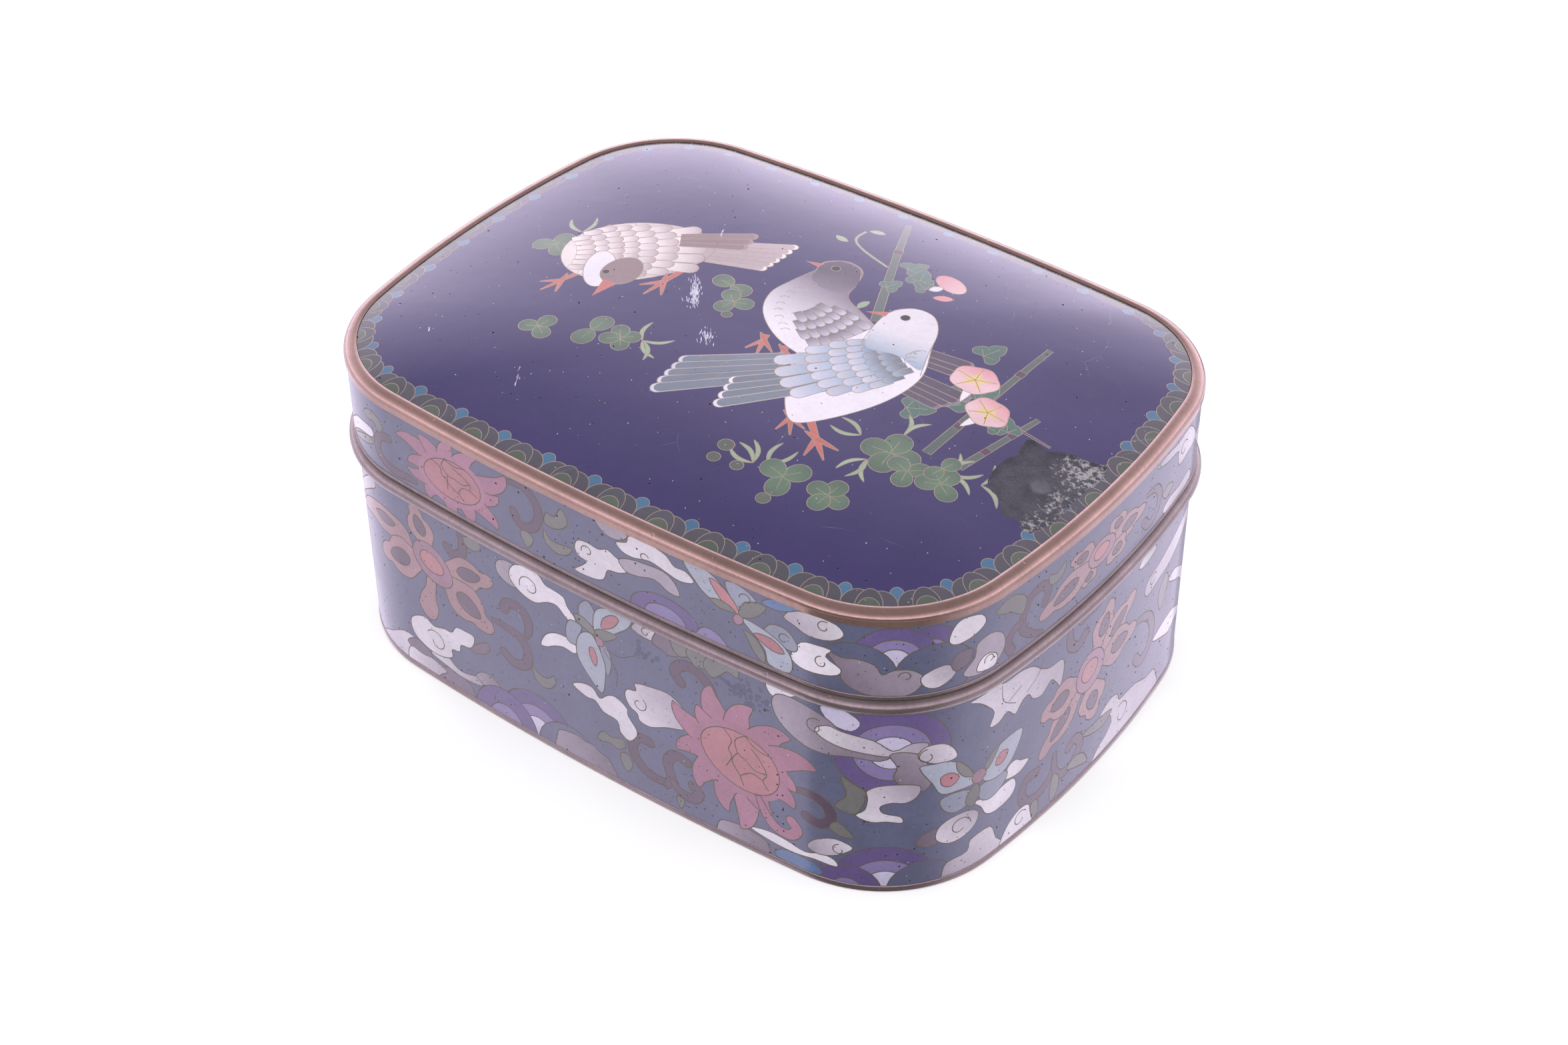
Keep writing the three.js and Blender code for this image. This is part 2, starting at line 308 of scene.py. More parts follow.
class Drawing:
    """Flat cells of enamel and the wires between them. Later shapes cover earlier ones."""

    def __init__(self, wire):
        self.wire = wire / MM
        self.shapes = []

    def cell(self, outline, colour, shade=None, wired=True):
        outline = anticlockwise(outline)
        reach = rightwards(outline, True) * self.wire / 2
        if wired:
            self.shapes.append((outline + reach, WIRE, None))
            outline = outline - reach
        self.shapes.append((outline, colour, shade))

    def line(self, path, width=None):
        self.shapes.append((anticlockwise(stroke(path, width or self.wire)), WIRE, None))


class Pen:
    """Draws in a motif's own place, turned and sized. A negative width mirrors it."""

    def __init__(self, drawing, x=0.0, y=0.0, turn=0.0, wide=1.0, high=1.0):
        self.drawing = drawing
        self.place = lambda points: placed(points, x, y, turn, wide, high)

    def cell(self, outline, colour, shade=None, wired=True):
        if shade:
            other, start, end = shade
            shade = (other, *self.place([start, end]))
        self.drawing.cell(self.place(outline), colour, shade, wired)

    def line(self, path, width=None):
        self.drawing.line(self.place(path), width)


# Motifs of the sides, as (distance round the outline, height) in mm

PETAL = [(0, -0.16), (0.12, -0.32), (0.32, -0.5), (0.55, -0.44), (0.68, -0.27), (0.8, -0.26), (0.96, -0.12),
         (1, 0.08), (0.9, 0.22), (0.76, 0.24), (0.64, 0.42), (0.4, 0.52), (0.16, 0.34), (0, 0.16)]
PETAL_CELL = [(0.24, 0), (0.36, -0.19), (0.58, -0.17), (0.74, 0.03), (0.58, 0.2), (0.36, 0.2)]
CLUB = [(0, -0.2), (0.3, -0.26), (0.5, -0.42), (0.8, -0.5), (1, -0.1), (0.94, 0.34), (0.66, 0.46),
        (0.46, 0.3), (0.3, 0.26), (0, 0.2)]
LOTUS_WIRES = (
    [(-3.4, 6), (-1.7, 4.1), (-2.4, 1.6), (-1.7, 0), (-3, -2.9)],
    [(1.2, 6.5), (-0.9, 4.5), (-0.4, 1.6), (1.2, 0.8)],
    [(-0.4, 1.6), (-1.7, -0.9), (0, -3.8), (0.8, -6)],
    [(1.2, 0.8), (3.3, -0.9), (5.8, -0.5)],
    [(2.5, 4.1), (4.1, 2.5), (5.8, -0.5), (5, -2.5), (6.2, -4.4)],
    [(0, -3.8), (2.5, -1.9), (5, -2.5)],
    [(1.2, 6.5), (3.7, 4.5), (7, 4.1)],
)


def flower(pen, petals, disc, turn=0):
    """A scrolling flower. Its petals are (turn, reach, width), and a minus width makes a plain club."""
    long, wide = disc
    for angle, reach, width in petals:
        near = min(long, wide) * 0.9
        whole, inner = (placed(smooth(shape, steps=3), near, 0, 0, reach - near, abs(width))
                        for shape in (CLUB if width < 0 else PETAL, PETAL_CELL))
        pen.cell(placed(whole, 0, 0, angle), "peach")
        if width > 0:
            pen.cell(placed(inner, 0, 0, angle), "plum")
    pen.cell(oval(0, 0, long, wide, turn, 0.05, 26), "rose")
    pen.cell(oval(-0.2, 0.2, long * 0.58, wide * 0.54, turn + 14, 0.1, 18), "heart")


def flame(reach, width, hook):
    """A pointed petal along +X whose tip bends aside."""
    spine = smooth([(5, 0), (reach * 0.6, -0.16 * hook), (reach * 0.85, hook * 0.2), (reach, hook)], False, 4)
    share = np.linspace(0, 1, len(spine))
    return stroke(spine, 0.1 + width * (1 - share**2.2))


def lotus(pen, petals, turn=0):
    """A lotus round a heart marked with scales. Its petals are (turn, reach, width, hook)."""
    for angle, reach, width, hook in petals:
        pen.cell(placed(flame(reach, width, hook), 0, 0, angle), "lotus")
    pen.cell(oval(0, 0, 10.4, 8.6, turn, 0, 30), "lotus", wired=False)
    pen.cell(oval(0, 0, 8.6, 6.7, turn - 12, -0.08, 30), "salmon")
    for path in LOTUS_WIRES:
        pen.line(placed(smooth(path, False, 4), 0, 0, turn))


def vine(d, path, width=2.3, colour="tendril"):
    """A tendril that starts thin and ends round."""
    line = smooth(path, False, 4)
    share = np.linspace(0, 1, len(line))
    reach = width * (0.45 + 0.55 * np.sin(math.pi * np.clip(share * 1.3, 0, 0.5)))
    ahead = line[-1] - line[-2]
    cap = placed(arc(0, 0, width / 2, -80, 80, 6), *line[-1], math.degrees(math.atan2(ahead[1], ahead[0])))
    outline = stroke(line, reach)
    d.cell(np.vstack([outline[:len(line)], cap, outline[len(line):]]), colour)


def cells(d, outlines):
    """Cells with flowing outlines, given as (colour, colour that it shades to or None, points)."""
    for colour, other, points in outlines:
        outline = smooth(points, steps=3)
        low, high = outline.min(0), outline.max(0)
        d.cell(outline, colour, (other, low, high) if other else None)


def coil(d, x, y, radius, start, sweep):
    """The wire that winds in at the head of a cloud."""
    d.line(spiral(radius, start, sweep, 0.62, 20) + [x, y])


def crest(pen, radius, bands=("purple", "lilac", "pale_lilac"), shares=(1, 0.66, 0.38)):
    """A round wave crest in bands, one inside the other."""
    for colour, share in zip(bands, shares):
        pen.cell(oval(0, 0, radius * share, radius * share, steps=34), colour)


BODY_LOTUS = [(0, 12, 6, -1.6), (-20, 13, 5.4, -1.6), (119, 16, 6.4, -2), (90, 14, 6.2, -3),
              (54, 15, 6.4, -2.6), (27, 17, 6, -2.4), (-84, 17, 5.8, -1.8), (-110, 14.4, 5.4, 2.4),
              (221, 14.6, 6, 2.8), (190, 14.6, 5.6, 2), (163, 16, 6, -2.4), (142, 12.6, 5.2, -1.4),
              (-62, 12, 6, 1.4)]
LID_LOTUS = [(150, 17.4, 6, 3), (128, 14, 5.6, 1), (96, 13.4, 5.8, -2.4), (66, 14.6, 5.6, -2.4),
             (28, 20, 6, 3), (2, 14, 5.8, 2.8), (-28, 15.6, 5.4, -1.8), (-62, 12.6, 5.6, -2.2),
             (-96, 12, 5.6, 2.2), (-134, 13, 5.8, 2.2), (204, 14.4, 5.6, -2.2), (178, 13.4, 5.6, 2.2)]
LEFT_FLOWER = [(108, 13.4, 7), (14, 16.8, 7.4), (-31, 17.6, 10), (-101, 15, -5.4), (197, 16.4, 9.4)]
RIGHT_FLOWER = [(65, 14.5, 8), (29, 17.6, 7), (-3, 16.8, 8), (-80, 13.6, 9), (217, 19, 7.4),
                (184, 15.6, 8.4)]
LID_FLOWER = [(150, 11.4, 7.4), (41, 9.8, 7), (2, 15.2, 8), (-40, 10.4, 8), (-128, 9.2, 5.4),
              (197, 19.4, 9.4)]

BODY_UNDER = (
    ("white", "cloud_mauve", [
        (-76.4, 25.6), (-72, 29.6), (-66, 35), (-60, 40.2), (-56, 42.6), (-54.8, 40.8), (-58.6, 38),
        (-63, 34.6), (-68, 29.4), (-73, 26)]),
    ("cloud_mauve", "white", [(-60, 1), (-55, 4.8), (-50, 8), (-46.6, 7.4), (-48, 4), (-49.6, 1)]),
    ("cloud_plum", None, [(-49.4, 5.6), (-47, 7.9), (-44.4, 7.6), (-42.4, 6.2), (-43, 4.2), (-46, 4.2)]),
    ("cloud_plum", None, [(-41, 0.6), (-40.2, 4), (-37, 5.6), (-33, 5), (-31, 3), (-32, 0.6)]),
    ("white", "cloud_mauve", [
        (-42.5, 6.7), (-38.3, 8.5), (-35, 6.6), (-31.7, 7), (-28.4, 8.2), (-28.6, 5.8), (-33.8, 5),
        (-38, 5.6)]),
    ("cloud_mauve", "cloud_plum", [(-30, 7.6), (-28, 9.8), (-25, 9.8), (-23, 7.6), (-26, 6)]),
    ("white", "cloud_mauve", [
        (-49.6, 2), (-48.4, 5), (-45, 4.8), (-42, 5.2), (-38.4, 4), (-40, 2.4), (-42, 0.6), (-48, 0.6)]),
)
BODY_CELLS = (
    ("cloud_mauve", "cloud_plum", [
        (-9, 4.6), (-8.3, 6.2), (-5.8, 6.9), (-3.8, 7.2), (-2.1, 6.7), (0, 6.9), (1.4, 5.9), (3.4, 5.4),
        (4.7, 3.6), (5, 0.6), (-8.6, 0.6)]),
    ("cloud_mauve", "cloud_plum", [
        (28.8, 2), (29.6, 4.2), (31.7, 5), (35, 5.3), (39.2, 4.6), (40.4, 3), (40, 0.6), (29, 0.6)]),
    ("cloud_mauve", None, [
        (-21.8, 39.2), (-21.2, 41.2), (-18.8, 42.3), (-16.7, 41.7), (-16.9, 39), (-16.7, 37.1),
        (-18.3, 36.6), (-20.8, 37.5)]),
    ("white", None, [
        (-16.7, 42.5), (-13.3, 43.3), (-10.8, 42.9), (-9.4, 41.4), (-7.5, 41.2), (-5, 40.7), (-4.2, 38.8),
        (-2.5, 36.9), (-2.8, 35), (-4.8, 36), (-6.8, 37.7), (-9.2, 37.3), (-12.1, 35.7), (-15, 36),
        (-17.8, 37.7), (-18.4, 40)]),
    ("white", None, [
        (-11.6, 26), (-10.2, 29), (-7.5, 30.8), (-4.2, 31), (-2.4, 29.7), (-3.2, 28), (-5.8, 28.2),
        (-8.3, 27.2), (-10, 26.1)]),
    ("white", "cloud_mauve", [
        (8.5, 24.2), (9.1, 25.9), (11.2, 26.6), (11, 28.3), (14.2, 29.2), (18.3, 29.8), (20.8, 28.8),
        (22, 27.4), (19.4, 26.9), (20.2, 25.2), (22.1, 22.9), (19.6, 21.7), (17.5, 20.9), (14.2, 19.2),
        (11.7, 19.5), (11.2, 21), (9.4, 22)]),
    ("white", None, [
        (-4.2, 20), (-1.8, 21.6), (0.8, 21.7), (2.3, 20), (4.2, 21.7), (6.2, 22.4), (8.8, 21), (9, 19.2),
        (10.8, 16.8), (10.8, 15), (9, 12.9), (6.9, 14.1), (6.3, 16.5), (3, 17), (1.2, 18.8), (-1, 18.6)]),
    ("cloud_plum", None, [
        (-31, 14.4), (-28.6, 16.6), (-26, 18.3), (-25.4, 17), (-26.7, 15.2), (-29.4, 13.8)]),
    ("white", None, [
        (-47.6, 11.7), (-46.6, 13.8), (-43.3, 15.4), (-40.8, 14.4), (-38, 15.3), (-35.8, 15.6),
        (-34.4, 17.6), (-32, 18), (-29.6, 17.9), (-29.8, 15.8), (-31, 14.2), (-33.4, 13.6), (-34, 11.6),
        (-36.2, 10.9), (-36.2, 9), (-38.3, 7.7), (-41, 7.1), (-43.8, 7.5), (-46.7, 9)]),
    ("cloud_mauve", "white", [
        (10.8, 41.7), (12.5, 43.6), (16.2, 43.6), (16.7, 41.7), (15.4, 40.7), (12.5, 40.8)]),
    ("cloud_plum", None, [
        (15.4, 40.7), (17, 43.8), (20.4, 43.8), (20.6, 41), (21.2, 40), (19.2, 39.2), (17.4, 39.8)]),
    ("white", None, [(40, 42.6), (41.5, 40.8), (44.5, 42), (47, 43.4), (50, 43.6), (46, 44.4), (41, 44.4)]),
    ("cloud_mauve", "cloud_plum", [
        (41.2, 39), (42, 41.5), (44.6, 42.3), (48.5, 41.9), (52.4, 40.5), (54.8, 38.6), (58, 37.6),
        (61.6, 36.4), (64.4, 34.2), (62, 32.4), (57, 32.8), (52, 32.1), (48, 32.4), (44.6, 34),
        (42.4, 36)]),
    ("white", "cloud_mauve", [
        (50, 37.4), (52.4, 39), (55, 38.4), (60.8, 37.2), (64.2, 34.8), (67.5, 36.3), (70.4, 35.9),
        (70, 34.4), (67.5, 33.4), (64, 33.4), (60, 33.9), (55, 34.6), (51.4, 35.8)]),
    ("cloud_plum", "cloud_mauve", [
        (63.6, 33.8), (66, 34.4), (69, 33.4), (70.4, 31), (71.6, 28.4), (71, 25.4), (69, 24.4), (66.2, 26),
        (64.4, 28.4), (65, 31)]),
    ("cloud_mauve", "white", [
        (68.6, 33), (70, 35), (73.4, 34.9), (75.6, 32.8), (76, 30.6), (72.6, 30.4), (70, 31.5)]),
    ("white", "cloud_mauve", [
        (57.8, 18.8), (59.4, 20.4), (59.9, 23.2), (59.7, 25), (61.7, 26.3), (65, 26.7), (69.2, 25.9),
        (68.8, 23.4), (66.7, 22.1), (64.2, 22.3), (62.2, 21.4), (62.8, 19.8), (65.8, 18.9), (66.2, 17.3),
        (63.3, 17.7), (60.6, 17.5)]),
    ("white", None, [
        (36.3, 6), (40, 7.2), (44, 7), (48, 6.2), (51.4, 7.3), (54, 6.6), (54.4, 5), (50, 5.3), (46, 4.7),
        (41, 4.9)]),
    ("cloud_mauve", "white", [
        (48.5, 8), (50.2, 10.4), (54, 12), (57.4, 10.6), (55.4, 8.6), (53, 7.4), (50.4, 7)]),
    ("cloud_plum", None, [(68.8, 11.6), (70, 13.6), (73, 14.4), (74, 11.6), (71, 10.2)]),
    ("white", None, [
        (80, 17.6), (82, 15.4), (83.4, 12.8), (86, 11.7), (90, 12.3), (91.5, 14.4), (90.6, 16.7),
        (87.4, 16.8), (84.6, 16), (82.4, 17.2)]),
    ("white", "cloud_mauve", [
        (72.6, 11.6), (73, 14.4), (75.4, 16), (79, 16.2), (81.5, 14.6), (81, 12), (78.6, 10.2),
        (75.2, 9.8)]),
    ("cloud_mauve", "white", [
        (74, 2), (75, 5), (79.2, 5.8), (80, 8.4), (84.8, 8.7), (86.6, 4.6), (88.6, 0.8), (75, 0.8)]),
    ("white", None, [(87.8, 2), (90, 5.4), (93, 7), (95.8, 6.4), (96.4, 4), (97.8, 1), (89, 1)]),
    ("white", None, [(88, 18.2), (89, 20.6), (91, 21), (92.6, 19.8), (94.9, 18.6), (92.6, 17), (90, 17.2)]),
    ("white", "cloud_mauve", [
        (78.4, 42.4), (82, 42.9), (84.6, 43.2), (87, 42.2), (91, 42.2), (94.6, 41), (97, 38.8),
        (99.6, 37.4), (103.2, 37), (104, 34.4), (103.2, 30.6), (101.6, 32.6), (100, 34), (97.6, 32.2),
        (95, 33), (93.6, 35), (91.8, 34.6), (90, 32.7), (87.8, 34.8), (85.6, 33.6), (83.2, 34),
        (84.2, 36.8), (82.4, 39.4), (80.4, 41.2)]),
    ("white", "cloud_mauve", [
        (118.3, 12.1), (121.7, 13.7), (124.6, 13), (125.6, 10.9), (128.3, 10.5), (132, 10), (135, 8.6),
        (137.5, 7.6), (140.8, 7), (142.2, 4.6), (141.6, 0.8), (118.4, 0.8), (118.5, 3.6), (120.8, 4.8),
        (122.9, 6.7), (122.4, 9.2), (119.6, 11)]),
    ("cloud_mauve", "white", [
        (132.5, 32.4), (134, 34.6), (138, 35.4), (143, 36.8), (150, 39), (156, 38), (150, 35.4), (144, 32),
        (138, 31), (134, 30.4)]),
    ("white", None, [
        (144.2, 26.8), (147, 27.8), (151, 25.6), (156, 21.6), (160, 16.4), (155, 18.8), (151, 22.6),
        (147, 24.8)]),
    ("white", None, [
        (138.8, 15.6), (142, 16.8), (147, 17.2), (150, 16), (155, 12.4), (150, 12.8), (147, 12),
        (143.6, 13.2)]),
    ("white", "cloud_mauve", [(129, 40.6), (131, 42.2), (135, 42), (136, 40.4), (131, 39.6)]),
    ("peach", None, [
        (-44.6, 32.1), (-45.2, 34.8), (-47.3, 36.8), (-51.7, 37.7), (-55.8, 37.2), (-60, 35.4),
        (-63.3, 32.6), (-67.5, 28.8), (-71.7, 24.2), (-75.8, 19.6), (-79.4, 11), (-78, 15), (-73.3, 20.6),
        (-69.2, 25.4), (-65, 29.4), (-60.8, 31.4), (-57.5, 32.2), (-52.5, 31.4), (-47, 32)]),
    ("plum", None, [(-55.8, 35), (-52.5, 36.3), (-49, 35.4), (-50.4, 34.1), (-53.3, 33.8)]),
    ("olive", None, [(-30, 42), (-28.5, 43), (-26, 43.4), (-25.4, 41.6), (-27, 40.2), (-29.2, 40.4)]),
    ("olive", None, [
        (-14.3, 19), (-12.5, 17.9), (-10.5, 17.9), (-8.9, 19.4), (-8.5, 17.8), (-9.8, 15.8), (-12, 15.1),
        (-13.8, 16.2)]),
    ("olive", None, [
        (20.2, 43.6), (20, 41.5), (21.5, 40.1), (23.5, 40.9), (25, 39.4), (27, 39.9), (28.6, 38.7),
        (30.4, 40.2), (32, 41.8), (34, 41.2), (33.8, 43.8), (27, 44.4)]),
    ("olive", None, [
        (1.2, 9.8), (2.6, 11.9), (4.8, 11.5), (7.3, 12.5), (8, 10.8), (6.2, 9.3), (4, 9.8), (2, 9)]),
    ("olive", None, [(6.7, 8.6), (8.6, 9.2), (9.5, 7), (8.2, 4.6), (6.9, 6.4)]),
    ("olive", None, [(19.6, 4.8), (21.6, 4.6), (20.6, 2)]),
    ("olive", None, [
        (55, 27.8), (57.6, 26.3), (59.6, 24.6), (59, 21.2), (57.4, 19), (53.9, 20.2), (56, 23.2),
        (55.6, 25.4)]),
    ("olive", None, [(52.9, 14.6), (54.6, 16.4), (57.6, 13.2), (55, 13)]),
    ("olive", None, [
        (112.2, 11.6), (116, 11.9), (120, 11.4), (123, 10.4), (121, 9), (118.4, 8.8), (114.6, 10)]),
    ("olive", None, [(96.4, 5.4), (98.4, 5.8), (98.8, 2.4), (97.2, 1.6)]),
    ("olive", None, [(103.2, 8.6), (105, 6.6), (104.8, 3.4), (102.8, 1.8), (102.2, 5)]),
    ("olive", None, [(107.4, 6.6), (110, 8), (113.2, 6.6), (114.6, 3.4), (111.2, 4.6)]),
    ("olive", None, [(141, 21.8), (139.4, 26.4), (142, 30.2), (143.8, 28), (142.8, 24)]),
)
BODY_CHIP = (
    ("chip", None, [(42, 1.7), (43, 4.2), (47, 4.6), (50.6, 3.8), (51, 1.7)]),
)
BUTTERFLIES = (
    ("dull_blue", None, [(-1.2, 37.6), (-1.4, 40.6), (0.6, 42.8), (2.2, 41.2), (2.4, 38.6), (1.2, 36.8)]),
    ("pale_blue", None, [
        (2.3, 36), (1.9, 39.2), (3.2, 42.2), (6.7, 43.5), (10.8, 43.6), (10.2, 41.2), (8, 39),
        (5.8, 37.3)]),
    ("salmon", None, [(3.8, 37.8), (4.3, 40.4), (6.6, 42.3), (8, 41.8), (6.4, 39.2)]),
    ("dull_blue", None, [(-5, 33.3), (-3.8, 36), (-1, 35.8), (-1.6, 33.6), (-2.6, 30.6), (-4.7, 30.6)]),
    ("dull_blue", None, [(3, 34.4), (5, 33.4), (5.7, 30), (4.6, 26.6), (3.6, 30.5)]),
    ("pale_blue", None, [
        (-2.6, 30.8), (-2.3, 27.5), (0, 24.2), (3, 21.6), (4, 25.8), (4.1, 29.2), (2.6, 33.3), (1, 35.2),
        (-1.4, 34)]),
    ("salmon", None, [(0.5, 31.4), (0.7, 29.2), (1.8, 27.6), (2.3, 29.6), (1.6, 31.8)]),
    ("olive", None, [(1.6, 35.6), (3.4, 37.4), (7.4, 37.7), (5.4, 35.6), (3, 34.6)]),
    ("olive", None, [(-2.7, 38), (-0.6, 38.3), (1.7, 36.9), (2, 35.3), (0, 35.6), (-2.1, 36.7)]),
    ("rose", None, [(2.2, 35.2), (3.8, 35), (4, 33.6), (2.6, 33.2)]),
    ("dull_blue", None, [(73.2, 21.4), (76.6, 22), (79.8, 20.8), (79.5, 18.4), (76.4, 17), (73.8, 18.6)]),
    ("dull_blue", None, [(81.2, 20.4), (84, 21), (88.6, 20), (88, 17.4), (84.6, 16), (81.8, 17.4)]),
    ("pale_blue", None, [
        (69, 30.2), (71.7, 30.5), (75, 30.1), (77.5, 28), (80.1, 25), (80.2, 22.4), (76.7, 22.3),
        (73.3, 22.7), (71.5, 25.8)]),
    ("salmon", None, [(73.1, 26.8), (75, 27.3), (76.8, 25.6), (75.2, 24), (73.4, 24.8)]),
    ("olive", None, [(76.2, 29.5), (78.4, 27.4), (80, 24.4), (78, 25), (76.4, 27.2)]),
    ("pale_blue", None, [
        (81.8, 23), (83.1, 25.8), (86.7, 28), (92.2, 28.1), (91.8, 25), (89.6, 21.6), (86.7, 20.2),
        (83.2, 21)]),
    ("salmon", None, [(85.3, 23.8), (86.4, 25.7), (88.6, 25.2), (88, 23.4), (86.4, 22.9)]),
    ("olive", None, [(82.2, 24.4), (83.8, 27), (86.2, 28.2), (85, 25.8), (83.4, 24)]),
    ("rose", None, [(79.7, 24.4), (81.6, 25.1), (83, 23.6), (81.6, 21.8), (79.9, 22.6)]),
    ("olive", None, [(79, 20.6), (80.8, 22), (81.6, 19.4), (80, 16.6), (78.4, 18.4)]),
)
STAINS = ((13.4, 36.4, 1.6, 1, 16), (35.4, 39, 2.6, 1.3, 60))
PLAIN_CLOUD = [(-7.4, -1.8), (-5.4, 2.2), (-1.2, 3.6), (2, 1.8), (6.4, 2.8), (8.4, 0.4), (3.4, -1.4),
               (-2.4, -3.2)]
BODY_VINES = (
    [(-30.9, 43.4), (-30.2, 40), (-30.9, 37.5), (-33, 36.2), (-34.6, 37.4)],
    [(-15.4, 25.4), (-14.4, 28), (-14.9, 30.8), (-17, 32.2), (-19.6, 31.6), (-20.6, 29.8)],
    [(-24.2, 25.4), (-20, 25.3), (-16.5, 24.4), (-15.1, 21.5), (-16, 18.4), (-19, 17.2), (-21.4, 18.6)],
    [(29.4, 30.2), (29, 33), (27.8, 36.3), (25, 38.6), (21.9, 38.3), (20.3, 36), (21.6, 34)],
    [(20, 8.8), (17, 7), (13.5, 7), (10.6, 9.2), (9.7, 12.5), (11.2, 15), (13.8, 15.2)],
    [(17, 5.6), (18.6, 8.6), (17.9, 12.5), (19.7, 15.2), (22.4, 14.8)],
    [(18.6, 8.6), (20.5, 6.4), (23.5, 6.2), (25, 8.4), (23.6, 9.4)],
    [(44.6, 20.4), (49, 21.2), (52.4, 19.6), (53.2, 16.6), (51, 14.6), (48.4, 15.4)],
    [(105.4, 43.4), (105.2, 40.4), (106, 38), (108.2, 36.7), (110.4, 38.2)],
    [(115.4, 42.4), (111.4, 42.8), (108.8, 42.4)],
    [(103, 14.4), (102.6, 10), (100.6, 7.6), (97.4, 6.8), (94.4, 8), (93.4, 10.8), (94.8, 13.4),
     (97.6, 13.2)],
    [(103, 14.4), (103.4, 9.6), (105.2, 7), (108.4, 6.8), (111, 8.6), (111.4, 11), (109.6, 12.9),
     (107.6, 12)],
    [(129, 26.6), (133, 26), (136.6, 23.2), (137.8, 18.6), (136.2, 15.4), (133.2, 14.8), (131.2, 17)],
)
BODY_COILS = (
    (-13.4, 38.8, 2.6, 200, -330), (11.8, 23.6, 1.8, 60, -330), (-40.4, 10.6, 2.8, 150, -330),
    (50, 37.8, 2, 60, 330), (70.4, 32.6, 1.8, 90, 320), (77.4, 13, 2.4, 0, 320), (93.4, 4.4, 2, 30, 320),
    (127, 6.4, 2.8, 120, -330), (14, 42, 1, 90, 300), (54.8, 9.4, 1.4, 90, 300), (136, 33, 1.6, 30, 320),
)


def stain(d, x, y, long, high, count, rng):
    """A darker pitted spot in the ground, as a scatter of small blots."""
    for _ in range(count):
        size = rng.uniform(0.2, 0.6)
        middle = (x + rng.gauss(0, long), y + rng.gauss(0, high))
        blot = oval(*middle, size * 1.5, size, rng.uniform(0, 180), 0, 8)
        d.cell(blot, "stain", wired=False)


def plain_cloud(pen):
    """The simple cloud that the hidden half has in place of a butterfly."""
    pen.cell(smooth(PLAIN_CLOUD, steps=3), "white", ("cloud_mauve", (-5, 0), (8, 0)))


def body_motifs(d, hidden):
    """Half of the body's pattern. The hidden half repeats it without the chip and the butterflies."""
    if not hidden:
        rng = random.Random(sizes().seed)
        for place_and_size in STAINS:
            stain(d, *place_and_size, rng)
    cells(d, BODY_UNDER)
    crest(Pen(d, -13.8, 2.4), 9.8)
    crest(Pen(d, -22.4, 0.2), 8.2, ("purple", "lilac"), (1, 0.52))
    d.cell(oval(-5.6, 0.4, 8.4, 8, steps=26), "side_field")
    crest(Pen(d, 64, 34.4, 0, 1.08, 1), 10)
    crest(Pen(d, 63.3, 1.6), 9.8)
    crest(Pen(d, 56.4, -0.2), 6.4, ("purple", "lilac"), (1, 0.46))
    d.cell(oval(70.4, 0.4, 6.8, 6.6, steps=26), "side_field")
    d.cell(smooth([(51, 43), (55, 43.6), (58.4, 41.2), (56.8, 38.8), (53, 39.8)], steps=3), "pale_lilac")
    for path in BODY_VINES:
        vine(d, path)
    cells(d, BODY_CELLS)
    if hidden:
        plain_cloud(Pen(d, 0.6, 32.6, 60))
        plain_cloud(Pen(d, 80.4, 23))
    else:
        cells(d, BODY_CHIP)
        cells(d, BUTTERFLIES)
    lotus(Pen(d, 34.2, 21.7), BODY_LOTUS)
    vine(d, [(38, 15), (39.6, 11.6), (41.6, 9.2), (44.6, 8.6), (46.4, 10.6), (45.2, 12.4)], 2.4, "lotus")
    flower(Pen(d, -39.2, 30.7), LEFT_FLOWER, (5.6, 4.2), -32)
    flower(Pen(d, 113.2, 27.3), RIGHT_FLOWER, (4.7, 4.6))
    for place_and_turn in BODY_COILS:
        coil(d, *place_and_turn)
    loose = [[(23.6, 43.6), (23, 42), (23.5, 40.9)], [(28, 43.8), (26.8, 41.6), (27, 39.9)],
             [(93, 36), (96, 38), (97.4, 41)], [(86, 42), (86.6, 38), (90, 35.4)], [(88, 37), (91.4, 38.6)]]
    feelers = [[(4, 33.2), (8, 33), (12.8, 36.2)], [(4, 32.6), (6.8, 29), (6.6, 25)]]
    for path in loose if hidden else loose + feelers:
        d.line(smooth(path, False, 4), 0.18)


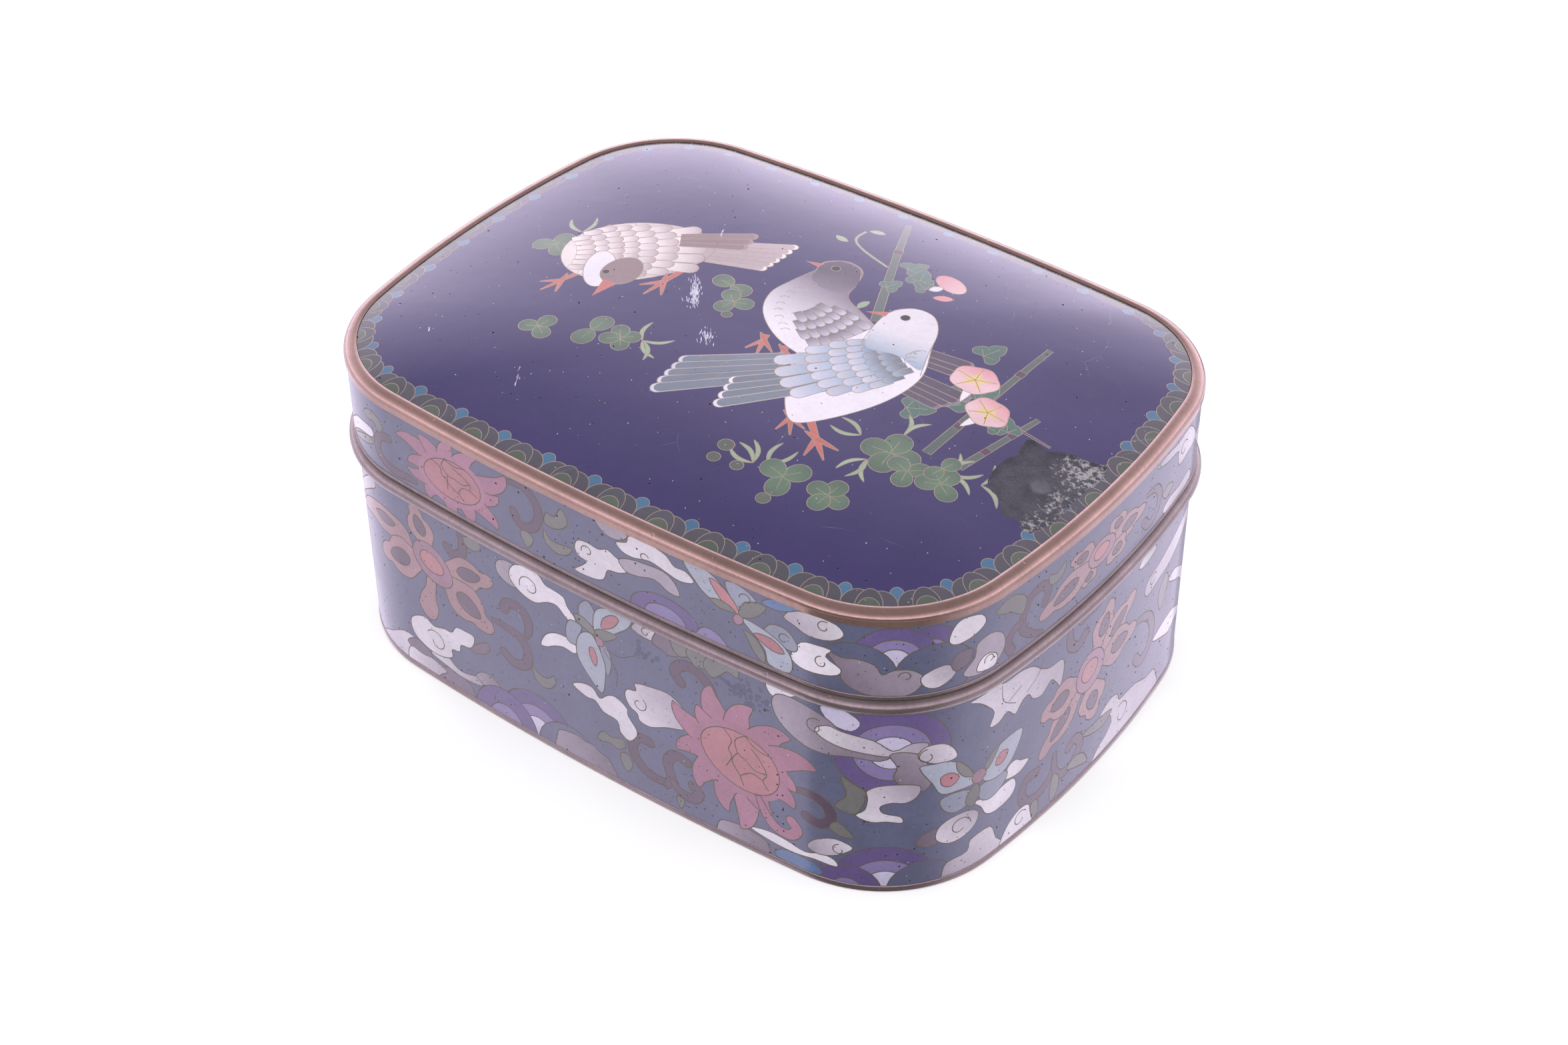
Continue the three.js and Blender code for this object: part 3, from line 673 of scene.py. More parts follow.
LID_CELLS = (
    ("white", None, [
        (-71, 46), (-66, 50), (-62, 53.2), (-58.5, 55.4), (-53, 56.2), (-52.6, 54.2), (-57, 53), (-61, 51),
        (-66, 47.2)]),
    ("olive", None, [(-62, 49.4), (-58, 52), (-54, 53.6), (-53, 52.4), (-57, 50.6)]),
    ("olive", None, [
        (-55.2, 59), (-53, 60.5), (-50, 60.1), (-48.9, 58), (-50.4, 56.7), (-51.6, 58.4), (-53.6, 58)]),
    ("olive", None, [
        (-8.1, 57), (-7.4, 59.4), (-5.6, 59.2), (-4, 61.8), (-2.8, 61), (-2.5, 58.8), (-4.4, 57),
        (-6.4, 56.4)]),
    ("olive", None, [
        (-8.3, 55.4), (-6.8, 53.4), (-3.6, 53.6), (-1.7, 53.7), (-3, 51.7), (-5.6, 51), (-8.2, 52.4)]),
    ("olive", None, [(-14.3, 51.7), (-12.4, 52.5), (-11, 51.2), (-12.8, 48.6)]),
    ("cloud_mauve", None, [(4, 63.6), (6, 61.2), (9, 61), (11.4, 63), (8, 64.4)]),
    ("white", None, [
        (8.6, 60.4), (11, 61.5), (11.8, 63.3), (16, 63.5), (19.6, 62.7), (21.4, 61), (23.8, 61),
        (25.6, 59.3), (22.6, 58.2), (19, 59), (16, 59.6), (12.6, 58.7), (10, 58.9)]),
    ("white", None, [
        (-1.1, 54.4), (-0.4, 56.5), (2, 57.1), (4.4, 56.8), (6.6, 57.7), (9, 56.7), (11, 57.6),
        (11.8, 55.4), (9, 53.5), (6.4, 52.9), (5.4, 50.4), (3, 49.3), (-1.4, 49.2), (0.2, 51), (1.5, 52.5),
        (-0.2, 53)]),
    ("cloud_mauve", None, [
        (9, 56.6), (11.4, 57.9), (15, 58.5), (19, 58.7), (21.4, 57.2), (22.4, 54.7), (20, 54.5), (17, 55.9),
        (13.4, 54.9), (10.6, 54.7)]),
    ("lilac", None, [(26.2, 49), (28, 50.4), (30.8, 49.7), (32.2, 47.4), (26, 47.2)]),
    ("cloud_mauve", "white", [
        (44, 60.4), (46, 62.7), (50, 63.4), (54, 62.7), (55.4, 60.6), (53, 58.8), (49, 58.4),
        (46.2, 59.4)]),
    ("cloud_plum", "cloud_mauve", [
        (52.2, 56.6), (55, 55.7), (58, 55.9), (60.8, 54.8), (62, 52.8), (64, 53.8), (67, 53.6),
        (69.2, 51.6), (67.8, 48.8), (64.4, 47.6), (59, 48.2), (55.4, 50.2), (54.4, 53.2)]),
    ("white", None, [
        (45.4, 52.4), (47.4, 56.3), (50.6, 57), (53.2, 56.7), (52.2, 55), (54.9, 53), (54.2, 51.4),
        (51, 50.6), (47.2, 50.6)]),
    ("white", "cloud_mauve", [
        (68.6, 51.6), (71, 53.2), (73.6, 53.4), (74.9, 51), (72, 48.8), (69.4, 49.4)]),
    ("cloud_plum", None, [(74, 53.4), (75.6, 55.6), (78.2, 55.2), (77.6, 52.6), (75, 51.4)]),
    ("cloud_mauve", None, [
        (76.4, 50.4), (78.6, 53), (79, 55.8), (82, 56.8), (84.8, 55.2), (85.6, 52), (83.6, 49.4),
        (80, 48.6), (77.2, 49.2)]),
    ("white", None, [(79.2, 49.4), (80, 51.9), (82, 52.4), (83.8, 50.8), (83, 48.8)]),
    ("white", None, [
        (73.4, 58.6), (74.2, 61.4), (76, 62.8), (79.6, 62.2), (80.6, 60), (78.4, 58.2), (75, 57.4)]),
    ("olive", None, [
        (82.8, 60.6), (85, 62), (88, 61.8), (90.8, 59.4), (89.8, 56.4), (87, 58.4), (84.6, 59.4)]),
    ("olive", None, [(96.8, 60.6), (99, 59.6), (101.6, 61), (101.2, 58.6), (99, 57.6), (97.2, 58.2)]),
    ("olive", None, [(135.4, 53.6), (138, 54.4), (140.2, 53.2), (137.6, 51.4)]),
    ("cloud_mauve", "white", [
        (132, 61.8), (136, 62.4), (141, 61.8), (146, 62.2), (148.8, 60), (150.4, 57), (146.4, 56.2),
        (142.4, 55.8), (141.4, 58.4), (141, 59.8), (136, 60.4)]),
    ("white", "cloud_mauve", [
        (136.4, 49), (139, 50.6), (143.6, 50.4), (147.8, 51.2), (149.4, 49), (146, 47.4), (139, 47.4)]),
    ("white", None, [(150.4, 56.8), (154, 57.8), (157.8, 54), (160.4, 50), (156, 51), (153, 53.8)]),
)
LID_CHIP = (
    ("chip", None, [(39.6, 61.4), (40.8, 62.8), (43.2, 63.5), (47.2, 63.4), (44, 61.5), (41.4, 61.1)]),
)
LID_BUTTERFLY = (
    ("dull_blue", None, [(32, 62.5), (35, 63.2), (38, 61.8), (38.8, 59.8), (36.4, 57.4), (34.4, 58)]),
    ("dull_blue", None, [(39.8, 54.8), (41.4, 57.5), (44.6, 57.7), (46.8, 55.2), (46, 53.4), (42.6, 53.8)]),
    ("pale_blue", None, [
        (23.4, 63.2), (26, 59.7), (28, 57.9), (31.4, 56.7), (34.6, 57), (33, 60), (30, 62.6), (27, 63.6)]),
    ("salmon", None, [(28.8, 61.9), (31.6, 61.3), (34.5, 58.2), (34.6, 56.6), (31.4, 58)]),
    ("olive", None, [(28.8, 57.4), (31.6, 58.1), (34.2, 56.8), (31, 56.2)]),
    ("olive", None, [(34.8, 56.6), (35.9, 59.6), (38.6, 61), (40.6, 60.7), (38.8, 58), (36.4, 56.5)]),
    ("pale_blue", None, [
        (35.4, 56.1), (39.4, 55.8), (43.4, 54.2), (45.6, 51.6), (45.2, 48.2), (41, 48.2), (40.2, 51),
        (38.2, 53.2)]),
    ("salmon", None, [(37.8, 53.8), (41.6, 54.3), (44.2, 52.2), (41.4, 51.7)]),
    ("olive", None, [(35.8, 53.6), (38.4, 52.8), (40.2, 50), (39.9, 47.9), (38, 49.4), (36.7, 51.8)]),
    ("rose", None, [(33.6, 55.4), (34.6, 56.6), (35.8, 56), (35.4, 54.6), (34.2, 54.2)]),
)
LID_VINES = (
    [(-40.6, 49.6), (-43, 49.8), (-46.6, 49.5), (-50, 50.8), (-51.2, 53.2), (-50.2, 55.8), (-47.6, 56.6)],
    [(-17, 62), (-13.5, 62.5), (-10.8, 61.4), (-9.4, 58.8), (-9.8, 55.8), (-11.8, 53.6), (-14.4, 53.6),
     (-15.4, 55.8)],
    [(96, 48.4), (93, 49.8), (90.2, 52.6), (90.2, 56), (92, 58.8), (95, 59.4), (96.9, 57.4), (96, 55)],
    [(90.2, 54.6), (87.6, 53.8), (86.4, 51.6), (87.4, 49.4)],
    [(128.4, 58), (132.4, 57.2), (134.2, 54.4), (133.2, 51.2), (130.4, 50.2), (128.4, 52)],
)
LID_COILS = (
    (14.8, 59.8, 1.1, 20, 260), (1.8, 55, 1.4, 200, -300), (51.8, 61.4, 1.4, 60, 300),
    (51.4, 53.4, 1.4, 90, 300), (66, 52.2, 1.3, 180, -280), (82, 51, 1.3, 200, -280),
    (36.4, 60.6, 1.4, 180, -300), (44, 55.4, 1.3, 30, 300), (144, 58.6, 1.8, 30, 300),
)


def lid_side_motifs(d, hidden):
    """Half of the pattern round the lid. The hidden half repeats it without the chip and the butterfly."""
    crest(Pen(d, 19, 48, 0, 1, 0.64), 7.8, ("purple", "lilac"), (1, 0.58))
    crest(Pen(d, 70.4, 57, 0, 1, 1.1), 5.4, ("purple", "lilac"), (1, 0.5))
    crest(Pen(d, 64, 55.6), 7.6)
    d.cell(oval(57.2, 52.4, 7.4, 7, steps=26), "side_field")
    d.cell(oval(71.2, 52.4, 7.2, 6.4, steps=26), "side_field")
    for path in LID_VINES:
        vine(d, path, 2)
    cells(d, LID_CELLS)
    if hidden:
        plain_cloud(Pen(d, 35.4, 56))
    else:
        cells(d, LID_CHIP)
        cells(d, LID_BUTTERFLY)
    lotus(Pen(d, -31, 55, 0, 0.86, 0.66), LID_LOTUS, 26)
    flower(Pen(d, 113.2, 55.7, 0, 1, 0.68), LID_FLOWER, (4.4, 4.2))
    for place_and_turn in LID_COILS:
        coil(d, *place_and_turn)


# Motifs of the lid, seen from above, in mm

def leaf_outline(long, wide, bend=0.0, steps=11):
    share = np.linspace(0, 1, steps)
    spine = np.column_stack([long * share, bend * np.sin(math.pi * share)])
    return stroke(spine, 0.06 + wide * np.sin(math.pi * share) ** 0.75)


def leaf(pen, long, wide, bend=0.0, colour="leaf_grey"):
    pen.cell(leaf_outline(long, wide, bend), colour)


def feather(long, wide, steps=7):
    """A round-ended feather along +X."""
    tip = arc(long - wide * 0.5, 0, wide * 0.5, -90, 90, steps)
    return np.vstack([[(0, -wide * 0.42)], tip, [(0, wide * 0.42)]])


def feather_rows(pen, x, y, turn, rows, colour, tip_colour, spread=14):
    """Overlapping feathers that point along a turn. Rows are (distance, half width, count, length)."""
    for distance, half, count, long in reversed(rows):
        wide = 2.2 * half / count
        for i in range(count):
            side = (i + 0.5) / count * 2 - 1
            root = placed([(distance - 0.28 * half * side**2, side * half)], x, y, turn)[0]
            angle = turn + spread * side
            start, end = placed([(long * 0.25, 0), (long, 0)], *root, angle)
            pen.cell(placed(feather(long, wide), *root, angle), colour, (tip_colour, start, end))


def long_feathers(pen, x, y, turn, count, long, wide, spread, colour, edge):
    """Tail or wing feathers with pale tips, laid side by side and stepped in length."""
    for i in range(count):
        side = i - (count - 1) / 2
        root = placed([(0, side * wide * 0.6)], x, y, turn)[0]
        reach = long * (1 - 0.055 * (count - 1 - i))
        angle = turn + side * spread
        pen.cell(placed(feather(reach, wide, 9), *root, angle), edge)
        pen.cell(placed(feather(reach - 0.7, wide * 0.88), *root, angle), colour, wired=False)


def foot(pen, x, y, turn, leg, size=1.0):
    """A bird's leg from a point, with three toes forward and one back."""
    ankle = placed([(leg, 0)], x, y, turn)[0]
    pen.cell(stroke([(x, y), ankle], [1.3 * size, 0.9 * size]), "coral")
    for toe, reach in ((-150, 2.6), (-38, 4.2), (0, 5), (38, 4.2)):
        tip = placed([(reach * size, 0)], *ankle, turn + toe)[0]
        pen.cell(stroke([ankle, (ankle + tip) / 2, tip], [1.1 * size, 0.75 * size, 0.25]), "coral")


def down(pen, path, size, turn, count):
    """Small curved wires along a path, as on soft feathers."""
    for x, y in smooth(path, False, max(2, count // (len(path) - 1))):
        pen.line(placed(arc(0, 0, size, 20, 160, 6), x, y, turn))


def resting_dove(pen, dark, mid, pale, edge):
    """A dove that stands facing -X, seen from its side. Its tail reaches to +X."""
    long_feathers(pen, 22, 8.5, 8, 3, 15.5, 2.3, 1, dark, mid)
    long_feathers(pen, 24, 1.2, 0, 4, 18, 2.4, 1, dark, mid)
    foot(pen, 1, -2.4, -70, 1.8)
    foot(pen, 6, -3.2, -60, 1.8)
    body = smooth([(-4.6, 20.8), (-5, 24), (-1.4, 26.8), (2.8, 25.6), (4.6, 21), (6, 16.4), (12, 13.4),
                   (21, 9), (27, 3.6), (24, -2.2), (12, -4), (3, -2), (-4, 3), (-6.8, 9), (-6, 15)])
    pen.cell(body, pale, (mid, (1, 3), (3, 17)))
    rows = [(-4.4, 3.2, 4, 3.6), (-1.8, 4.8, 6, 3.6), (1, 5.8, 7, 3.8), (4, 6, 6, 4.4), (7.4, 5.4, 5, 6),
            (11.6, 3.8, 4, 9)]
    feather_rows(pen, 6.5, 7.4, -20, rows, mid, edge, 12)
    head = smooth([(-4.4, 19.4), (-5, 23), (-2.4, 26.2), (1.8, 26), (4.2, 22.6), (4.6, 18), (1, 16.2),
                   (-2.6, 17)])
    pen.cell(head, dark, (mid, (0, 22), (1, 16)), wired=False)
    pen.line(smooth([(-4.2, 19.6), (-5, 23), (-2.4, 26.2), (1.8, 26), (4.2, 22.6)], False))
    pen.cell([(-4.6, 23.2), (-8, 21.9), (-4.9, 21.7)], "coral")
    pen.cell(oval(-1.9, 23.3, 0.9, 0.9, steps=12), "night")
    down(pen, [(-2, 16), (-3.6, 11), (-2, 5), (3, 0.6)], 0.9, 30, 9)


def walking_dove(pen, dark, mid, pale, edge):
    """A dove seen from behind its shoulder. Its head is at the upper left, its tail at the lower left."""
    long_feathers(pen, 10, -8.4, 221, 5, 25, 2.7, 0.8, dark, pale)
    foot(pen, 18, -17.6, -55, 3)
    foot(pen, 23, -18.6, -42, 5.4, 1.2)
    body = smooth([(15.6, 12), (16, 19), (20.4, 21.4), (25, 18.6), (28, 12), (31.4, 4), (31, -4), (28, -12),
                   (23, -19.4), (19.4, -20.4), (14, -14), (10, -6), (13, 3)])
    pen.cell(body, "feather_white", (edge, (28, -4), (30, 6)))
    feather_rows(pen, 17.4, -1, 224, [(0, 4.2, 4, 3.6), (2.8, 4, 4, 3.6), (5.6, 3.6, 4, 3.6)], pale, edge, 8)
    long_feathers(pen, 19.4, -6, 227, 4, 23, 2.5, 1.4, dark, edge)
    rows = [(-1.5, 5, 6, 4), (1, 6.4, 7, 4.2), (3.6, 7.2, 8, 4.6), (6.6, 7.6, 7, 5), (10, 7.2, 6, 6),
            (13.6, 5.8, 4, 8.4)]
    feather_rows(pen, 24, 5.2, 233, rows[2:], mid, pale, 10)
    feather_rows(pen, 24, 5.2, 233, rows[:2], dark, mid, 10)
    neck = smooth([(15.4, 11), (15, 17.4), (18, 21), (22.4, 21), (26, 17), (28.4, 10.4), (30, 5.4),
                   (24, 6.6), (18, 5.4)])
    pen.cell(neck, "feather_white", (mid, (21, 13), (22, 5)), wired=False)
    pen.line(smooth([(16.4, 6), (15, 13), (15.2, 17.6), (18, 21), (22.4, 21), (26, 17), (28.4, 10.4),
                     (31, 4)], False))
    pen.cell([(15, 17.2), (11.2, 14.6), (15.1, 15.5)], "coral")
    pen.cell(oval(18.4, 17.4, 0.95, 0.95, steps=12), "night")
    down(pen, [(27.4, 9.6), (26.6, 8), (27.8, 5.6)], 1.3, 60, 4)


def feeding_dove(pen, dark, mid, pale, edge):
    """A dove bent down to feed, seen from above. Its tail is at the upper right."""
    long_feathers(pen, -25, 13.2, 27, 6, 17, 1.9, 2.4, mid, pale)
    foot(pen, -25, 5, -95, 5, 1.1)
    foot(pen, -41, -6.4, -105, 4, 1.0)
    pen.cell(oval(-36.5, 6, 15, 10.4, 40, 0.16, 40), pale, (mid, (-42, 4), (-26, 16)))
    rows = [(-12, 6, 7, 3.8), (-9.4, 8, 8, 3.8), (-6.6, 9, 9, 4), (-3.6, 9.2, 9, 4), (-0.4, 9, 8, 4.4),
            (3, 8.4, 7, 5), (6.8, 7.4, 5, 6.6)]
    feather_rows(pen, -36.5, 6, 36, rows, pale, mid, 12)
    long_feathers(pen, -32, 13.4, 33, 3, 15, 2.2, 3, dark, edge)
    pen.cell(oval(-38.6, -3.2, 3.1, 6.4, 32, 0, 24), "feather_white")
    pen.cell(oval(-34.4, -1.4, 4.9, 3.9, 100, 0.08, 26), dark)
    pen.cell([(-35.4, -5.8), (-33.6, -11.4), (-32.4, -5.6)], "coral")
    pen.cell(oval(-36.8, -3.4, 0.75, 0.75, steps=12), "night")


def clover(pen, leaves=3, size=2.1):
    """Round leaflets about a point, each with a wire down its middle."""
    for i in range(leaves):
        turn = 90 + 360 * i / leaves
        tip = placed([(size * 1.9, 0)], 0, 0, turn)[0]
        leaflet = oval(size * 0.95, 0, size * 0.95, size * 0.84, 0, -0.1, 16)
        pen.cell(placed(leaflet, 0, 0, turn), "leaf", ("leaf_dark", (0, 0), tuple(tip)))
        pen.line(placed([(0.2, 0), (size * 1.2, 0.1)], 0, 0, turn), 0.14)


def blades(pen, turns, long=6.0):
    """A tuft of curved grass blades."""
    for i, turn in enumerate(turns):
        bend = long * (0.16 if i % 2 else -0.14)
        pen.cell(placed(leaf_outline(long, 0.75, bend), 0, 0, turn), "grass")


def ivy(pen, size=1.0):
    """A three-lobed leaf that hangs from its stalk at the origin."""
    half = [(0.6, -0.2), (2.6, 0.8), (4.2, -0.6), (3.4, -3.2), (2.4, -3.9), (2.2, -5.6), (0.8, -7.4)]
    outline = [*half, (0, -7.9), *[(-x, y) for x, y in reversed(half)]]
    pen.cell(smooth(outline, steps=3) * size, "ivy")
    for tip in ((0, -5.8), (2.6, -2), (-2.6, -2)):
        pen.line(np.array([(0, -0.6), tip]) * size, 0.14)


def bindweed(pen, size=4.4):
    """A trumpet flower from the front, with a yellow star in its throat."""
    pen.cell(smooth([(-0.6, -size * 0.7), (0.4, -size * 1.55), (1.2, -size * 0.7)], steps=4), "feather_white")
    angles = np.radians(np.arange(0, 360, 18))
    reach = size * (1 + 0.05 * np.cos(5 * angles))
    rim = smooth(np.column_stack([reach * np.cos(angles), 0.86 * reach * np.sin(angles)]), steps=3)
    pen.cell(rim, "petal", ("blush", (0, -size * 0.2), (0, size)))
    star = []
    for i in range(10):
        angle = math.radians(90 + 36 * i)
        reach = size * (0.9 if i % 2 == 0 else 0.22)
        star.append((reach * math.cos(angle), 0.86 * reach * math.sin(angle)))
    pen.cell(star, "star", wired=False)
    for point in star[::2]:
        pen.line([(0, 0), point], 0.16)


def stake(pen, start, end, wide=1.7, joints=3):
    """A cane with joints."""
    start, end = np.array(start, float), np.array(end, float)
    share = np.linspace(0, 1, 8)
    pen.cell(stroke(start + (end - start) * share[:, None], wide * (1 - 0.35 * share)), "cane")
    step = (end - start) / np.linalg.norm(end - start)
    for i in range(1, joints + 1):
        middle = start + (end - start) * i / (joints + 1)
        pen.cell(stroke([middle - step * 0.9, middle + step * 0.9], wide * 0.9), "cane_joint")


def scuff(pen, x, y, turn, long, wide, count, rng):
    """A scrape made of many short scratches."""
    for _ in range(count):
        middle = placed([(rng.gauss(0, 0.36) * long, rng.gauss(0, 0.36) * wide)], x, y, turn)[0]
        reach = rng.uniform(0.3, 1.6)
        along = [(-reach / 2, 0), (0, rng.uniform(-0.1, 0.1)), (reach / 2, 0)]
        line = placed(along, *middle, turn + rng.gauss(0, 9))
        pen.cell(stroke(line, [0.04, rng.uniform(0.08, 0.2), 0.04]), "scuff", wired=False)


IVY = (
    (8.6, 31.6, 150, 0.62), (13.4, 29, 200, 0.66), (9.4, 23.6, 160, 0.5), (16, 28, 250, 0.5),
    (36.4, 16, 160, 0.72), (34.6, 9, 130, 0.66), (42.6, 4.4, 170, 0.8), (34, -5.4, 120, 0.74),
    (40, -0.6, 200, 0.84), (52.4, 0.6, 220, 0.62), (48.6, -0.6, 150, 0.5),
)
GRASS = (
    (-50.4, 5.6, (100, 150, 60)), (-46.4, 2, (170, 120, 190)), (-16.4, -17.4, (35, 110, -30, -50)),
    (38.6, -12, (115, 70)), (50.6, -15.4, (105, 75, 40, -20)), (56.4, -14, (100, -30)),
    (32.6, -16.6, (160, 190)), (37.4, -21.4, (-60, -95, -120)), (21.6, -33.6, (125, 170, 150)),
    (24, -32.4, (65, 100)),
)
CLOVER = (
    (-52, -0.6, 3, 2.4), (-35.4, -24.6, 3, 2.1), (-26.2, -20, 2, 2.6), (-20.4, -19, 4, 2.1),
    (-14, 6.6, 2, 2.4), (-10.6, 2.4, 3, 2.2), (39.6, -17.4, 4, 3), (44.6, -19.6, 3, 2.3),
    (51, -18.6, 3, 2.4), (28, -33.4, 3, 2.7), (37.4, -33, 4, 2.3), (49, -15, 2, 2),
)
PEBBLES = (
    (14.8, -32.4, 1.6), (14.8, -36, 1.3), (19.6, -35.6, 1.3), (28.4, -39.6, 1.4), (-9, -1.6, 1.1),
)


def lid_picture(d):
    """Three doves among clover, canes and bindweed."""
    pen = Pen(d)
    stake(pen, (14.6, 13), (-2, 48), 1.9, 2)
    stake(pen, (44.4, -13.4), (45, 26), 1.8, 3)
    stake(pen, (51, -13), (54.4, 7.4), 1.6, 2)
    pen.cell(stroke([(34, 2.6), (46, 3), (60, 2.6)], [0.9, 0.7, 0.4]), "cane_joint")
    pen.cell(stroke(smooth([(5.4, 30), (-2, 32.4), (-5.6, 35), (-6, 39)], False), 0.45), "grass")
    for x, y, turn in ((-6.2, 33.2, 170), (-5.6, 39.6, 20), (9.4, 14.6, 80)):
        leaf(Pen(d, x, y, turn), 3.2, 1.5, 0.2, "grass")
    for x, y, turn, size in IVY:
        ivy(Pen(d, x, y, turn), size)
    for x, y, turns in GRASS:
        blades(Pen(d, x, y), turns)
    for x, y, leaves, size in CLOVER:
        clover(Pen(d, x, y, x * 7), leaves, size)
    for x, y, size in PEBBLES:
        pen.cell(oval(x, y, size, size * 0.9, steps=14), "leaf_grey")
    resting_dove(pen, "slate", "mauve", "feather_white", "feather_pale")
    walking_dove(pen, "steel", "feather_blue", "feather_pale", "feather_white")
    feeding_dove(pen, "brown", "fawn", "cream", "tan")
    bindweed(Pen(d, 39.4, 9.4, 8), 4.6)
    bindweed(Pen(d, 46.4, 3, -18), 4.3)
    pen.cell(oval(18.4, 32.6, 3.8, 2.3, -20, 0, 22), "blush", ("petal", (15, 34), (22, 31)))
    leaf(Pen(d, 18, 30.6, 235), 3, 1.8, 0, "feather_white")
    leaf(Pen(d, 18.4, 26.4, 28), 4, 1.8, 0, "blush")


def lid_scuffs(d, rng):
    """The scrapes that the lid has picked up."""
    pen = Pen(d)
    for x, y, turn, long, wide, count in ((-19, 1.6, -52, 5, 1.4, 110), (-17, -1.6, -50, 2.6, 1.6, 60),
                                          (-7.6, -9.2, -60, 3, 2.2, 50), (-27, 20, -62, 3.4, 0.3, 9),
                                          (-29, -38, -58, 4, 0.5, 9), (-53, -35.8, -40, 1, 0.4, 6)):
        scuff(pen, x, y, turn, long, wide, count, rng)


SCALLOP_DEPTH = 3.4


def lid_border(d, outline, edge):
    """Grey scallops with olive hearts round the lid's rim, and turquoise half rounds between them."""
    count = round(outline.around / (sizes().scallop / MM))
    pitch = outline.around / count
    lobe = pitch * 0.29

    def bent(points):
        """Points (along, inwards) at the rim, bent round the outline."""
        points = np.asarray(points, float)
        return outline.at(points[:, 0], edge - points[:, 1])[0]

    for i in range(count):
        middle = (i + 0.5) * pitch
        d.cell(bent(oval(middle + pitch / 2, SCALLOP_DEPTH * 0.72, pitch * 0.14, 1.5, steps=18)), "turquoise")
    for i in range(count):
        middle = (i + 0.5) * pitch
        for side in (-1, 1):
            shoulder = oval(middle + side * pitch * 0.21, 0.4, lobe, SCALLOP_DEPTH * 0.8, steps=22)
            d.cell(bent(shoulder), "scallop")
        d.cell(bent(oval(middle, 0.2, lobe * 0.84, SCALLOP_DEPTH * 0.96, steps=22)), "scallop")
        d.cell(bent(oval(middle, -0.6, pitch * 0.2, 2.2, steps=18)), "scallop_olive")


# Meshes of enamel

WELD = 1e-4


class Skin:
    """Collects triangles in mm, with what each of their corners carries, and joins them to one mesh."""

    def __init__(self):
        self.parts = []

    def add(self, places, directions, tints, spots, slots):
        """Arrays with one row for each triangle and its three corners. Slots are one for each triangle."""
        self.parts.append((places, directions, tints, spots, slots))

    def piece(self, name, materials):
        places, directions, tints, spots, slots = (np.concatenate(rows) for rows in zip(*self.parts))
        flat = places.reshape(-1, 3)
        _, first, index = np.unique(np.round(flat / WELD), axis=0, return_index=True, return_inverse=True)
        faces = index.reshape(-1, 3)
        whole = (faces[:, 0] != faces[:, 1]) & (faces[:, 1] != faces[:, 2]) & (faces[:, 2] != faces[:, 0])
        mesh = bpy.data.meshes.new(name)
        mesh.from_pydata((flat[first] * MM).tolist(), [], faces[whole].tolist())
        for material in materials:
            mesh.materials.append(material)
        mesh.polygons.foreach_set("material_index", slots[whole].astype(np.int32))
        mesh.uv_layers.new(name=BAKE_MAP).uv.foreach_set("vector", spots[whole].astype(np.float32).ravel())
        tint = mesh.color_attributes.new(name="glaze", type="FLOAT_COLOR", domain="CORNER")
        opaque = np.concatenate([tints[whole], np.ones(tints[whole].shape[:2] + (1,))], axis=2)
        tint.data.foreach_set("color", opaque.astype(np.float32).ravel())
        mesh.polygons.foreach_set("use_smooth", np.ones(int(whole.sum()), bool))
        mesh.update()
        mesh.normals_split_custom_set(directions[whole].reshape(-1, 3).tolist())
        piece = bpy.data.objects.new(name, mesh)
        bpy.context.scene.collection.objects.link(piece)
        return piece


def inside(points, outline):
    """Which points an anticlockwise outline winds round."""
    x, y = points.T[:, :, None]
    ax, ay = outline.T
    bx, by = np.roll(outline, -1, axis=0).T
    left = (bx - ax) * (y - ay) - (x - ax) * (by - ay)
    turns = ((ay <= y) & (by > y) & (left > 0)).sum(axis=1) - ((by <= y) & (ay > y) & (left < 0)).sum(axis=1)
    return turns > 0


